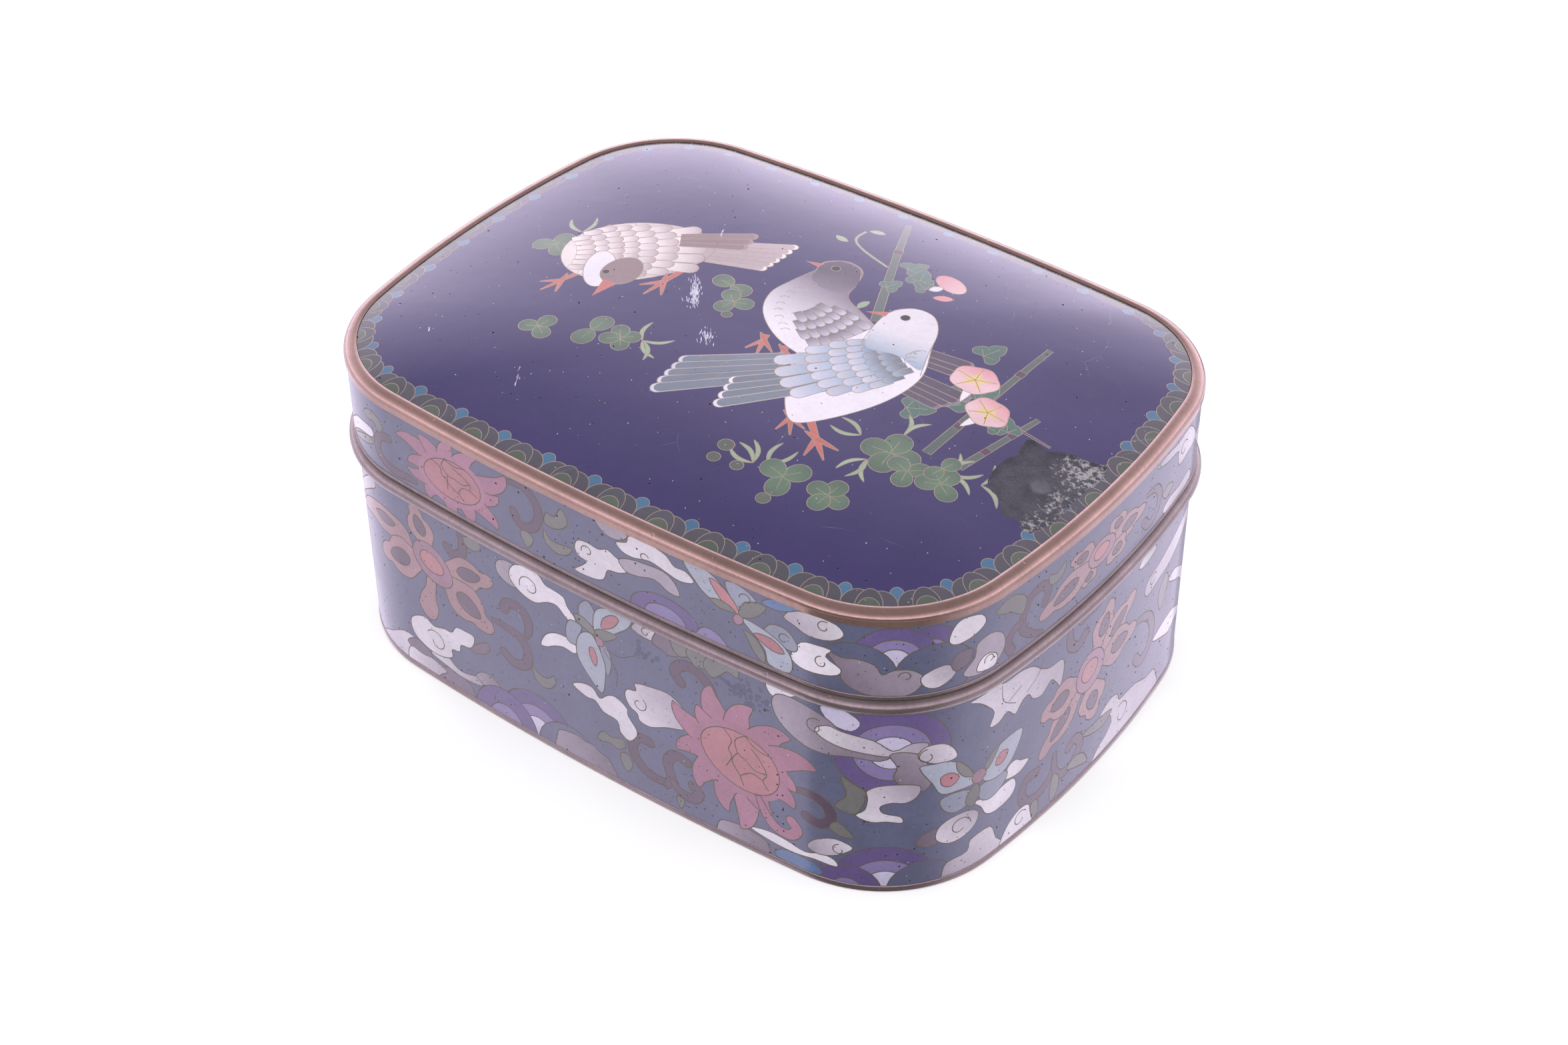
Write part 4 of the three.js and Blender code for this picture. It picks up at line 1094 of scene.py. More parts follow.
class Cut:
    """A drawing cut into triangles inside an edge, with more points where its surface bends."""

    def __init__(self, drawing, edge, extra, splits=(), field="side_field"):
        low, high = edge.min(0), edge.max(0)
        self.shapes = [(edge, field, None), *(
            shape for shape in drawing.shapes
            if np.all(shape[0].max(0) > low) and np.all(shape[0].min(0) < high)
        )]
        rows, lines, count = [], [], 0
        outlines = [(shape[0], True) for shape in self.shapes]
        for line, closed in [*outlines, *((split, False) for split in splits)]:
            last = count + len(line)
            lines += [(i, i + 1) for i in range(count, last - 1)]
            if closed:
                lines.append((last - 1, count))
            rows.append(line)
            count = last
        points = [Vector(point) for point in np.vstack([*rows, extra])]
        cut_points, _, faces, *_ = geometry.delaunay_2d_cdt(points, lines, [], 0, WELD / 10)
        self.points = np.array([tuple(point) for point in cut_points])
        faces = np.array(faces)
        middles = self.points[faces].mean(axis=1)
        top = np.full(len(faces), -1)
        for index, (outline, _, _) in enumerate(self.shapes):
            near = np.flatnonzero(np.all((middles > outline.min(0)) & (middles < outline.max(0)), axis=1))
            if index:
                near = near[top[near] >= 0]
            top[near[inside(middles[near], outline)]] = index
        self.faces = faces[top >= 0]
        self.top = top[top >= 0]
        self.corners = self.points[self.faces]

    def border(self):
        """The points round the cut's edge, in order and anticlockwise."""
        pairs = np.concatenate([self.faces[:, [0, 1]], self.faces[:, [1, 2]], self.faces[:, [2, 0]]])
        after = {(a, b) for a, b in pairs.tolist()}
        following = {a: b for a, b in after if (b, a) not in after}
        loop = [next(iter(following))]
        while following[loop[-1]] != loop[0]:
            loop.append(following[loop[-1]])
        return np.array(loop)

    def tints(self, rng):
        """The light that each corner gives back. No two cells of a colour are quite alike."""
        table = colours()
        result = np.zeros(self.corners.shape[:2] + (3,))
        for index in np.unique(self.top):
            _, colour, shade = self.shapes[index]
            chosen = self.top == index
            tint = linear(getattr(table, colour))
            if shade:
                other, start, end = shade
                start, end = np.array(start), np.array(end)
                along = (self.corners[chosen] - start) @ (end - start) / np.dot(end - start, end - start)
                along = np.clip(along, 0, 1)[..., None]
                tint = tint * (1 - along) + linear(getattr(table, other)) * along
            if index:
                tint = tint * (1 + rng.uniform(-0.07, 0.07))
            result[chosen] = tint
        return result

    def colour_slots(self, plain, special):
        """A material slot for each triangle: its colour's own, or the plain one."""
        names = [shape[1] for shape in self.shapes]
        return np.array([special.get(names[index], plain) for index in self.top])


def grid(low, high, step):
    """Points inside a rectangle, in rows."""
    across = np.arange(low[0] + step[0] / 2, high[0], step[0])
    up = np.arange(low[1] + step[1] / 2, high[1], step[1])
    return np.stack(np.meshgrid(across, up), axis=-1).reshape(-1, 2)


def strip(lower, upper):
    """Triangles between two rows of points that start and end together, as indices into both in turn."""
    faces, i, k = [], 0, 0
    offset = len(lower)
    while i < len(lower) - 1 or k < len(upper) - 1:
        if k == len(upper) - 1 or (i < len(lower) - 1 and lower[i + 1] <= upper[k + 1]):
            faces.append((i, i + 1, offset + k))
            i += 1
        else:
            faces.append((i, offset + k + 1, offset + k))
            k += 1
    return np.array(faces)


BAND_SEAM = -100.0
GRID_ALONG, GRID_UP = 2.2, 5.0
MAP_MARGIN = 0.002
MAP_ROW_GAP = 1.02
MAP_ROOM_BELOW = 1.12


def enamel_band(name, node, drawing, rows, seed):
    """A wall of enamel that follows the outline: the drawing outside, plain counter-enamel inside."""
    outline = Outline()
    low, high = node_box(node)
    face = offset_of(node)
    wall = sizes().wall / MM
    bottom, top = low[2], high[2]
    start, end = BAND_SEAM, BAND_SEAM + outline.around
    cuts = np.linspace(start, end, rows + 1)
    edge = np.array([(u, bottom) for u in cuts] + [(u, top) for u in cuts[::-1]])
    splits = [np.array([(u, bottom), (u, top)]) for u in cuts[1:-1]]
    extra = grid((start, bottom), (end, top), (GRID_ALONG, GRID_UP))
    rim = np.arange(start, end, GRID_ALONG)
    extra = np.vstack([extra, *[np.column_stack([rim, np.full(len(rim), level)]) for level in (bottom, top)]])
    cut = Cut(drawing, edge, extra, splits)
    border = cut.border()
    rims = [border[np.abs(cut.points[border, 1] - level) < WELD] for level in (bottom, top)]
    ends = [border[np.abs(cut.points[border, 0] - u) < WELD] for u in (start, end)]
    rims = [rim[np.argsort(cut.points[rim, 0])] for rim in rims]
    ends = [side[np.argsort(cut.points[side, 1])] for side in ends]
    # The two ends meet, so they get the very same heights.
    cut.points[ends[1], 1] = cut.points[ends[0], 1]
    straight = ((ends[0], 0, start), (ends[1], 0, end), (rims[0], 1, bottom), (rims[1], 1, top))
    for chosen, axis, value in straight:
        cut.points[chosen, axis] = value
    cut.corners = cut.points[cut.faces]

    # The bake map has the wall's rows one above the other, and its inside squeezed below them.
    run = outline.around / rows
    tall = (top - bottom) * MAP_ROW_GAP
    room = max(run, tall * rows * MAP_ROOM_BELOW)

    def spots(points, squeeze=1.0, shift=0.0):
        row = np.clip(((points[..., 0].mean(axis=1) - start) // run), 0, rows - 1)[:, None]
        across = points[..., 0] - start - row * run
        up = (points[..., 1] - bottom) * squeeze + row * tall * squeeze + shift
        return np.stack([across / room, up / room], axis=-1) * (1 - 2 * MAP_MARGIN) + MAP_MARGIN

    skin = Skin()

    def wrap(points, offset, outward, tints, slots, map_spots):
        flat, directions = outline.places(points[..., 0].ravel(), points[..., 1].ravel(), offset)
        directions = directions if outward is None else np.broadcast_to(outward, directions.shape)
        skin.add(flat.reshape(points.shape[:2] + (3,)), directions.reshape(points.shape[:2] + (3,)), tints,
                 map_spots, slots)

    rng = random.Random(seed)
    slots = cut.colour_slots(0, {WIRE: 1})
    wrap(cut.corners, face, None, cut.tints(rng), slots, spots(cut.corners))

    plain = linear(colours().counter)
    rim_points = [cut.points[rim] for rim in rims]
    for rim, up in zip(rim_points, (-1, 1)):
        faces = strip(rim[:, 0], rim[:, 0])[:, ::up]
        inner = np.arange(2 * len(rim)) >= len(rim)
        corners = np.vstack([rim, rim])[faces]
        tints = np.broadcast_to(linear(colours().side_field), faces.shape + (3,))
        wrap(corners, np.where(inner, face - wall, face)[faces].ravel(), (0, 0, up), tints,
             np.zeros(len(faces), int), spots(corners, 0.01, rows * tall * (1.05 + 0.01 * up)))
    faces = strip(rim_points[0][:, 0], rim_points[1][:, 0])[:, ::-1]
    corners = np.vstack(rim_points)[faces]
    flat, directions = outline.places(corners[..., 0].ravel(), corners[..., 1].ravel(), face - wall)
    skin.add(flat.reshape(faces.shape + (3,)), -directions.reshape(faces.shape + (3,)),
             np.broadcast_to(plain, faces.shape + (3,)), spots(corners, 0.03, rows * tall * 1.08),
             np.full(len(faces), 2))
    return skin.piece(name, [side_enamel(), side_wire(), counter_enamel()])


# The lid's panel

LOSS_OUTLINE = [(56.2, 2), (60, 1.6), (63, 3.6), (66.4, 4.4), (69.6, 5.8), (70.8, 2), (70.4, -4),
                (70.8, -10), (70.2, -15), (68.6, -18.2), (66, -17), (63, -17.4), (60.4, -14.6),
                (57, -13), (55.8, -8), (56.4, -3)]
LOSS_GRAIN = 0.55
LOSS_WALL = 0.3
LOSS_WORN_RIGHT = (60, 66)
LOSS_WORN_BACK = (-7, 0)
LOSS_WORN_EDGE = (64.5, 67.5)
BLISTER = (64.2, -7)
BLISTER_RADIUS = 2.2
BLISTER_HEIGHT = 0.5
PANEL_GRID = 2.6
PANEL_GRID_REACH = 0.985
PANEL_EDGE_STEP = 1.6
BACKING_GRID = 6
BACKING_GRID_REACH = 0.96


def loss_outline(inset=0.0):
    outline = anticlockwise(smooth(LOSS_OUTLINE, steps=5))
    wander = np.array([noise.noise((x * 0.9, y * 0.9, 4.0)) for x, y in outline])
    return outline + rightwards(outline, True) * (wander * 0.5 - inset)[:, None]


def loss_relief(x, y):
    """How far the rough filler lies above or below its bed."""
    place = Vector((x, y, 0))
    rough = 0.1 * noise.fractal(place * 0.9, 0.8, 2.1, 5) + 0.04 * noise.noise(place * 4)
    ring = math.hypot(x - BLISTER[0], y - BLISTER[1]) / BLISTER_RADIUS
    rim = BLISTER_HEIGHT * math.exp(-((ring - 0.85) ** 2) / 0.09)
    blister = rim + 0.12 * math.exp(-((ring / 0.6) ** 2))
    gritty = np.clip((x - 62) / 4, 0, 1) * np.clip((y + 3) / 3, 0, 1)
    return rough + blister * (1 + 0.4 * noise.noise(place * 2)) + 0.12 * gritty * noise.noise(place * 2.6)


def lid_panel(name):
    """The domed panel: the picture and its border outside, with the rough bed of the lost patch let in."""
    outline = Outline()
    low, high = node_box("lid_top_panel")
    edge_offset = offset_of("lid_top_panel")
    wall = sizes().wall / MM
    edge_height = low[2] + wall
    rise = high[2] - edge_height
    rng = random.Random(sizes().seed)

    drawing = Drawing(sizes().lid_wire)
    lid_border(drawing, outline, edge_offset)
    lid_picture(drawing)
    lid_scuffs(drawing, rng)
    drawing.cell(loss_outline(), LOSS, wired=False)
    bed = loss_outline(LOSS_WALL)
    drawing.cell(bed, LOSS, wired=False)

    around = np.arange(0, outline.around, PANEL_EDGE_STEP)
    edge = outline.at(around, edge_offset)[0]
    extra = grid(low[:2], high[:2], (PANEL_GRID, PANEL_GRID))
    extra = extra[outline.share(extra, edge_offset) < PANEL_GRID_REACH]
    coarse = extra[~inside(extra, loss_outline(-0.4))]
    bed_low, bed_high = bed.min(0), bed.max(0)
    fine = grid(bed_low, bed_high, (LOSS_GRAIN, LOSS_GRAIN))
    fine += np.array([(rng.uniform(-0.15, 0.15), rng.uniform(-0.15, 0.15)) for _ in fine])
    fine = fine[inside(fine, loss_outline(LOSS_WALL + 0.12))]
    cut = Cut(drawing, edge, np.vstack([coarse, fine]), field="lid_field")

    def height(points):
        return edge_height + rise * (1 - outline.share(points, edge_offset) ** sizes().dome_power)

    def slopes(points, step=0.05):
        along = (height(points + [step, 0]) - height(points - [step, 0])) / (2 * step)
        across = (height(points + [0, step]) - height(points - [0, step])) / (2 * step)
        steep = np.column_stack([-along, -across, np.ones(len(points))])
        return steep / np.linalg.norm(steep, axis=1, keepdims=True)

    top_points = np.column_stack([cut.points, height(cut.points)])
    directions = slopes(cut.points)
    in_bed = inside(cut.points, loss_outline(LOSS_WALL / 2))
    depth = sizes().loss_depth / MM
    for index in np.flatnonzero(in_bed):
        x, y = cut.points[index]
        top_points[index, 2] += loss_relief(x, y) - depth
    names = [shape[1] for shape in cut.shapes]
    lost = np.array([names[index] == LOSS for index in cut.top])
    corner_places = top_points[cut.faces]
    corner_directions = directions[cut.faces]
    flat_sides = np.cross(corner_places[lost][:, 1] - corner_places[lost][:, 0],
                          corner_places[lost][:, 2] - corner_places[lost][:, 0])
    bed_directions = np.zeros_like(directions)
    for k in range(3):
        np.add.at(bed_directions, cut.faces[lost][:, k], flat_sides)
    bed_directions /= np.maximum(np.linalg.norm(bed_directions, axis=1, keepdims=True), 1e-12)
    corner_directions[lost] = bed_directions[cut.faces[lost]]

    span = (high - low)[0] * 1.01
    middle = (low[:2] + high[:2]) / 2

    def spots(points, scale=1.0, shift=(0, 0)):
        return (points - middle) * scale / span + 0.5 + np.array(shift)

    skin = Skin()
    tints = cut.tints(rng)
    slots = cut.colour_slots(0, {WIRE: 1, LOSS: 2})
    skin.add(corner_places, corner_directions, tints, spots(cut.corners), slots)

    # The edge and the inside use the points of the cut's own edge.
    rim = cut.border()
    rim_points = cut.points[rim]
    following = np.roll(np.arange(len(rim)), -1)
    upper = top_points[rim]
    lower = upper - [0, 0, wall]
    faces = np.stack([np.stack([lower, lower[following], upper[following]], axis=1),
                      np.stack([lower, upper[following], upper], axis=1)]).reshape(-1, 3, 3)
    outward = np.cross(faces[:, 1] - faces[:, 0], faces[:, 2] - faces[:, 0])
    outward /= np.maximum(np.linalg.norm(outward, axis=1, keepdims=True), 1e-12)
    tint = linear(colours().scallop)
    skin.add(faces, np.repeat(outward[:, None], 3, axis=1), np.broadcast_to(tint, faces.shape),
             spots(faces[..., :2], 0.02, (-0.45, 0.45)), np.zeros(len(faces), int))

    backing_points = grid(low[:2], high[:2], (BACKING_GRID, BACKING_GRID))
    backing_points = backing_points[outline.share(backing_points, edge_offset) < BACKING_GRID_REACH]
    backing = Cut(Drawing(0), rim_points, backing_points, field="counter")
    below = backing.corners.reshape(-1, 2)
    places = np.column_stack([below, height(below) - wall]).reshape(-1, 3, 3)[:, ::-1]
    facing = -slopes(below).reshape(-1, 3, 3)[:, ::-1]
    skin.add(places, facing, np.broadcast_to(linear(colours().counter), places.shape),
             spots(places[..., :2], 0.2, (0.38, 0.38)), np.full(len(places), 3))
    return skin.piece(name, [lid_enamel(), lid_wire(), old_filler(), counter_enamel()])


# Node trees

def place(tree, kind, inputs=None, **settings):
    """Adds a node with its settings, and fills or links its inputs by name or number."""
    node = tree.nodes.new(kind)
    for name, value in settings.items():
        setattr(node, name, value)
    for key, value in (inputs or {}).items():
        if isinstance(value, bpy.types.NodeSocket):
            tree.links.new(value, node.inputs[key])
        else:
            node.inputs[key].default_value = value
    return node


def maths(tree, operation, first, second=None, third=None, clamp=False):
    values = {i: value for i, value in enumerate((first, second, third)) if value is not None}
    return place(tree, "ShaderNodeMath", values, operation=operation, use_clamp=clamp).outputs[0]


def new_tree(name, kind, inputs, outputs):
    """A node group with its sockets, given as (name, kind, value). Returns the tree and its two end nodes."""
    tree = bpy.data.node_groups.new(name, kind)
    for socket_name, socket_kind, value in inputs:
        socket = tree.interface.new_socket(socket_name, in_out="INPUT", socket_type=socket_kind)
        if value is not None:
            socket.default_value = value
    for socket_name, socket_kind in outputs:
        tree.interface.new_socket(socket_name, in_out="OUTPUT", socket_type=socket_kind)
    return tree, tree.nodes.new("NodeGroupInput"), tree.nodes.new("NodeGroupOutput")


def sweep_tree():
    """Geometry nodes that sweep a profile round a curve and let it stray a little, as soldered strip does."""
    tree, given, result = new_tree("sweep_round_outline", "GeometryNodeTree", [
        ("Geometry", "NodeSocketGeometry", None),
        ("Profile", "NodeSocketObject", None),
        ("Unevenness", "NodeSocketFloat", 0.00005),
        ("Stray length", "NodeSocketFloat", 0.02),
        ("Seed", "NodeSocketInt", 0),
        ("Material", "NodeSocketMaterial", None),
    ], [("Geometry", "NodeSocketGeometry")])
    profile = place(tree, "GeometryNodeObjectInfo", {"Object": given.outputs["Profile"]})
    section = place(tree, "GeometryNodeMeshToCurve", {"Mesh": profile.outputs["Geometry"]})
    path = place(tree, "GeometryNodeMeshToCurve", {"Mesh": given.outputs["Geometry"]})
    upright = place(tree, "GeometryNodeSetCurveNormal", {"Curve": path.outputs[0]}, mode="Z_UP")
    position = place(tree, "GeometryNodeInputPosition")
    frequency = maths(tree, "DIVIDE", 1.0, given.outputs["Stray length"])
    wave = place(tree, "ShaderNodeTexNoise", {
        "Vector": position.outputs[0], "W": given.outputs["Seed"], "Scale": frequency, "Detail": 1.0,
    }, noise_dimensions="4D")
    centred = place(tree, "ShaderNodeVectorMath", {0: wave.outputs["Color"], 1: (0.5, 0.5, 0.5)},
                    operation="SUBTRACT")
    flat = place(tree, "ShaderNodeVectorMath", {0: centred.outputs[0], 1: (2.0, 2.0, 1.0)},
                 operation="MULTIPLY")
    stray = place(tree, "ShaderNodeVectorMath", {0: flat.outputs[0], "Scale": given.outputs["Unevenness"]},
                  operation="SCALE")
    moved = place(tree, "GeometryNodeSetPosition", {
        "Geometry": upright.outputs[0], "Offset": stray.outputs[0],
    })
    swept = place(tree, "GeometryNodeCurveToMesh", {
        "Curve": moved.outputs[0], "Profile Curve": section.outputs[0], "Fill Caps": False,
    })
    real = place(tree, "GeometryNodeRealizeInstances", {"Geometry": swept.outputs[0]})
    finished = place(tree, "GeometryNodeSetMaterial", {
        "Geometry": real.outputs[0], "Material": given.outputs["Material"],
    })
    tree.links.new(finished.outputs[0], result.inputs[0])
    return tree


def run_tree(piece, tree, values):
    """Runs a geometry tree on a piece with these inputs and leaves a plain mesh."""
    modifier = piece.modifiers.new(tree.name, "NODES")
    modifier.node_group = tree
    for item in tree.interface.items_tree:
        if item.item_type == "SOCKET" and item.in_out == "INPUT" and item.name in values:
            modifier[item.identifier] = values[item.name]
    graph = bpy.context.evaluated_depsgraph_get()
    evaluated = piece.evaluated_get(graph)
    mesh = bpy.data.meshes.new_from_object(evaluated, preserve_all_data_layers=True, depsgraph=graph)
    piece.modifiers.clear()
    old = piece.data
    piece.data = mesh
    bpy.data.meshes.remove(old)
    mesh.name = piece.name


def loop_object(name, points):
    """A closed line of edges, in mm, as an object in the scene."""
    count = len(points)
    mesh = bpy.data.meshes.new(name)
    mesh.from_pydata([tuple(np.array(point) * MM) for point in points],
                     [(i, (i + 1) % count) for i in range(count)], [])
    thing = bpy.data.objects.new(name, mesh)
    bpy.context.scene.collection.objects.link(thing)
    return thing


SWEEP_STEP = 1.3
STRAY_LENGTH = 18 * MM
CREASE_ANGLE = math.radians(35)


def swept_rim(name, profile, material, seed):
    """A ring whose section, given as (offset, height) in mm, follows the outline."""
    outline = Outline()
    count = int(outline.around / SWEEP_STEP)
    points = outline.at(np.linspace(0, outline.around, count, endpoint=False))[0]
    ring = loop_object(name, [(x, y, 0) for x, y in points])
    # The sweep turns the section's own Y axis downwards.
    section = loop_object(name + "_section", [(offset, -height, 0) for offset, height in reversed(profile)])
    tree = bpy.data.node_groups.get("sweep_round_outline") or sweep_tree()
    run_tree(ring, tree, {"Profile": section, "Unevenness": sizes().unevenness, "Seed": seed,
                          "Stray length": STRAY_LENGTH, "Material": material})
    bpy.data.objects.remove(section)
    ring.data.polygons.foreach_set("use_smooth", np.ones(len(ring.data.polygons), bool))
    ring.data.set_sharp_from_angle(angle=CREASE_ANGLE)
    return ring


# Shader groups

def pinholes_group():
    """Small round marks, scattered one to a cell of a random pattern."""
    name = "scattered_marks"
    if name in bpy.data.node_groups:
        return bpy.data.node_groups[name]
    tree, given, result = new_tree(name, "ShaderNodeTree", [
        ("Vector", "NodeSocketVector", None),
        ("Spacing", "NodeSocketFloat", 0.002),
        ("Share", "NodeSocketFloat", 0.5),
        ("Radius", "NodeSocketFloat", 0.1),
        ("Seed", "NodeSocketFloat", 0.0),
    ], [("Mask", "NodeSocketFloat")])
    density = maths(tree, "DIVIDE", 1.0, given.outputs["Spacing"])
    moved = place(tree, "ShaderNodeVectorMath", {0: given.outputs["Vector"], 1: given.outputs["Seed"]},
                  operation="ADD").outputs[0]
    cells = place(tree, "ShaderNodeTexVoronoi", {"Vector": moved, "Scale": density})
    parts = place(tree, "ShaderNodeSeparateColor", {0: cells.outputs["Color"]})
    chosen = maths(tree, "LESS_THAN", parts.outputs[0], given.outputs["Share"])
    reach = maths(tree, "MULTIPLY", maths(tree, "MULTIPLY_ADD", parts.outputs[1], 0.65, 0.35),
                  given.outputs["Radius"])
    inner = maths(tree, "MULTIPLY", reach, 0.6)
    mark = place(tree, "ShaderNodeMapRange", {
        "Value": cells.outputs["Distance"], "From Min": reach, "From Max": inner,
    }, interpolation_type="SMOOTHSTEP")
    tree.links.new(maths(tree, "MULTIPLY", chosen, mark.outputs[0]), result.inputs["Mask"])
    return tree


def mottle_group():
    """Slow cloudy change, from 0 to 1 about a half."""
    name = "cloudy_change"
    if name in bpy.data.node_groups:
        return bpy.data.node_groups[name]
    tree, given, result = new_tree(name, "ShaderNodeTree", [
        ("Vector", "NodeSocketVector", None),
        ("Size", "NodeSocketFloat", 0.006),
        ("Detail", "NodeSocketFloat", 4.0),
        ("Contrast", "NodeSocketFloat", 1.0),
    ], [("Value", "NodeSocketFloat")])
    density = maths(tree, "DIVIDE", 1.0, given.outputs["Size"])
    cloudy = place(tree, "ShaderNodeTexNoise", {
        "Vector": given.outputs["Vector"], "Scale": density,
        "Detail": given.outputs["Detail"], "Roughness": 0.6,
    })
    centred = maths(tree, "SUBTRACT", cloudy.outputs[0], 0.5)
    spread = maths(tree, "MULTIPLY_ADD", centred, given.outputs["Contrast"], 0.5, clamp=True)
    tree.links.new(spread, result.inputs["Value"])
    return tree


def hairline_group():
    """Fine broken scratches."""
    name = "hairline_scratches"
    if name in bpy.data.node_groups:
        return bpy.data.node_groups[name]
    tree, given, result = new_tree(name, "ShaderNodeTree", [
        ("Vector", "NodeSocketVector", None),
        ("Spacing", "NodeSocketFloat", 0.02),
        ("Width", "NodeSocketFloat", 0.004),
        ("Share", "NodeSocketFloat", 0.4),
    ], [("Mask", "NodeSocketFloat")])
    density = maths(tree, "DIVIDE", 1.0, given.outputs["Spacing"])
    bend = place(tree, "ShaderNodeTexNoise", {
        "Vector": given.outputs["Vector"], "Scale": density, "Detail": 1.0,
    })
    moved = place(tree, "ShaderNodeVectorMath", {0: bend.outputs["Color"], "Scale": 0.012}, operation="SCALE")
    bent = place(tree, "ShaderNodeVectorMath", {0: given.outputs["Vector"], 1: moved.outputs[0]},
                 operation="ADD")
    edges = place(tree, "ShaderNodeTexVoronoi", {"Vector": bent.outputs[0], "Scale": density},
                  feature="DISTANCE_TO_EDGE")
    line = place(tree, "ShaderNodeMapRange", {
        "Value": edges.outputs["Distance"], "From Min": given.outputs["Width"], "From Max": 0.0,
    })
    broken = place(tree, "ShaderNodeTexNoise", {
        "Vector": given.outputs["Vector"], "Scale": maths(tree, "MULTIPLY", density, 2.6), "Detail": 2.0,
    })
    lowest = maths(tree, "MULTIPLY_ADD", given.outputs["Share"], -0.4, 0.75)
    kept = place(tree, "ShaderNodeMapRange", {
        "Value": broken.outputs[0], "From Min": lowest, "From Max": 0.75,
    })
    tree.links.new(maths(tree, "MULTIPLY", line.outputs[0], kept.outputs[0]), result.inputs["Mask"])
    return tree


class Finish:
    """A material being built: its tree, its shader, and short ways to add to it."""

    def __init__(self, name):
        self.material = bpy.data.materials.new(name)
        self.material.use_nodes = True
        self.tree = self.material.node_tree
        self.shader = self.tree.nodes["Principled BSDF"]
        self.where = place(self.tree, "ShaderNodeTexCoord").outputs["Object"]

    def set(self, **values):
        for name, value in values.items():
            self.shader.inputs[name.replace("_", " ")].default_value = value

    def link(self, name, socket):
        self.tree.links.new(socket, self.shader.inputs[name])

    def group(self, tree, **values):
        node = place(self.tree, "ShaderNodeGroup", node_tree=tree)
        self.tree.links.new(values.pop("Vector", self.where), node.inputs["Vector"])
        for name, value in values.items():
            node.inputs[name].default_value = value
        return node.outputs[0]

    def mix(self, share, first, second, blend="MIX"):
        node = place(self.tree, "ShaderNodeMix", data_type="RGBA", blend_type=blend)
        for key, value in ((0, share), (6, first), (7, second)):
            if isinstance(value, bpy.types.NodeSocket):
                self.tree.links.new(value, node.inputs[key])
            elif key == 0:
                node.inputs[key].default_value = value
            else:
                node.inputs[key].default_value = (*value, 1)
        return node.outputs[2]

    def ramp(self, value, low, high, start=0.0, end=1.0):
        return place(self.tree, "ShaderNodeMapRange", {
            "Value": value, "From Min": low, "From Max": high, "To Min": start, "To Max": end,
        }).outputs[0]

    def bump(self, height, distance, strength):
        node = place(self.tree, "ShaderNodeBump", {
            "Height": height, "Distance": distance, "Strength": strength,
        })
        self.link("Normal", node.outputs[0])


def found(name):
    return bpy.data.materials.get(name)


SPECK_COLOUR = (0.62, 0.6, 0.7)
SCRATCH_COLOUR = (0.5, 0.48, 0.6)


def enamel(name, mottle_size, mottle, pit_share, pit_shade_colour, speck_share, scratch_share, rough):
    """Polished glaze: its tint is painted on the corners, and pits, specks and scratches lie over it. The
    pits' near-black colour is painted shade.
    """
    if found(name):
        return found(name)
    finish = Finish(name)
    tree = finish.tree
    tint = place(tree, "ShaderNodeVertexColor", layer_name="glaze").outputs[0]
    cloudy = finish.group(mottle_group(), Size=mottle_size, Detail=5.0, Contrast=1.6)
    fine = finish.group(mottle_group(), Size=0.0009, Detail=3.0, Contrast=1.4)
    depth = maths(tree, "MULTIPLY_ADD", cloudy, mottle, 1 - mottle / 2)
    grain = maths(tree, "MULTIPLY_ADD", fine, mottle * 0.7, 1 - mottle * 0.35)
    level = maths(tree, "MULTIPLY", depth, grain)
    shaded = place(tree, "ShaderNodeVectorMath", {0: tint, "Scale": level}, operation="SCALE").outputs[0]
    pits = finish.group(pinholes_group(), Spacing=0.0018, Share=pit_share, Radius=0.16)
    tiny = finish.group(pinholes_group(), Spacing=0.0009, Share=pit_share * 0.7, Radius=0.19, Seed=3.0)
    hollow = maths(tree, "MAXIMUM", pits, tiny)
    # The pits are real hollows in the glaze; their near-black colour is painted shade inside them.
    pitted = finish.mix(maths(tree, "MULTIPLY", hollow, 0.85), shaded, pit_shade_colour)
    specks = finish.group(pinholes_group(), Spacing=0.0012, Share=speck_share, Radius=0.12, Seed=9.0)
    specked = finish.mix(specks, pitted, SPECK_COLOUR)
    lines = finish.group(hairline_group(), Spacing=0.026, Width=0.0035, Share=scratch_share)
    marked = finish.mix(maths(tree, "MULTIPLY", lines, 0.35), specked, SCRATCH_COLOUR)
    finish.link("Base Color", marked)
    worn = finish.group(mottle_group(), Size=0.012, Detail=6.0, Contrast=2.0)
    matt = maths(tree, "MULTIPLY_ADD", worn, 0.12, rough - 0.06)
    finish.link("Roughness", maths(tree, "MULTIPLY_ADD", hollow, 0.4, matt))
    finish.set(IOR=1.5)
    finish.link("Specular IOR Level", maths(tree, "MULTIPLY_ADD", hollow, -0.5, 0.5))
    ripple = finish.group(mottle_group(), Size=0.005, Detail=1.0, Contrast=1.0)
    height = maths(tree, "MULTIPLY_ADD", hollow, -0.6, maths(tree, "MULTIPLY", ripple, 0.35))
    finish.bump(height, 0.00012, 0.6)
    return finish.material


def side_enamel():
    return enamel("side_enamel_glaze", mottle_size=0.008, mottle=0.3, pit_share=0.6,
                  pit_shade_colour=(0.012, 0.012, 0.014), speck_share=0.1, scratch_share=0.1, rough=0.2)


def lid_enamel():
    return enamel("lid_enamel_glaze", mottle_size=0.014, mottle=0.22, pit_share=0.12,
                  pit_shade_colour=(0.01, 0.008, 0.014), speck_share=0.28, scratch_share=0.5, rough=0.14)


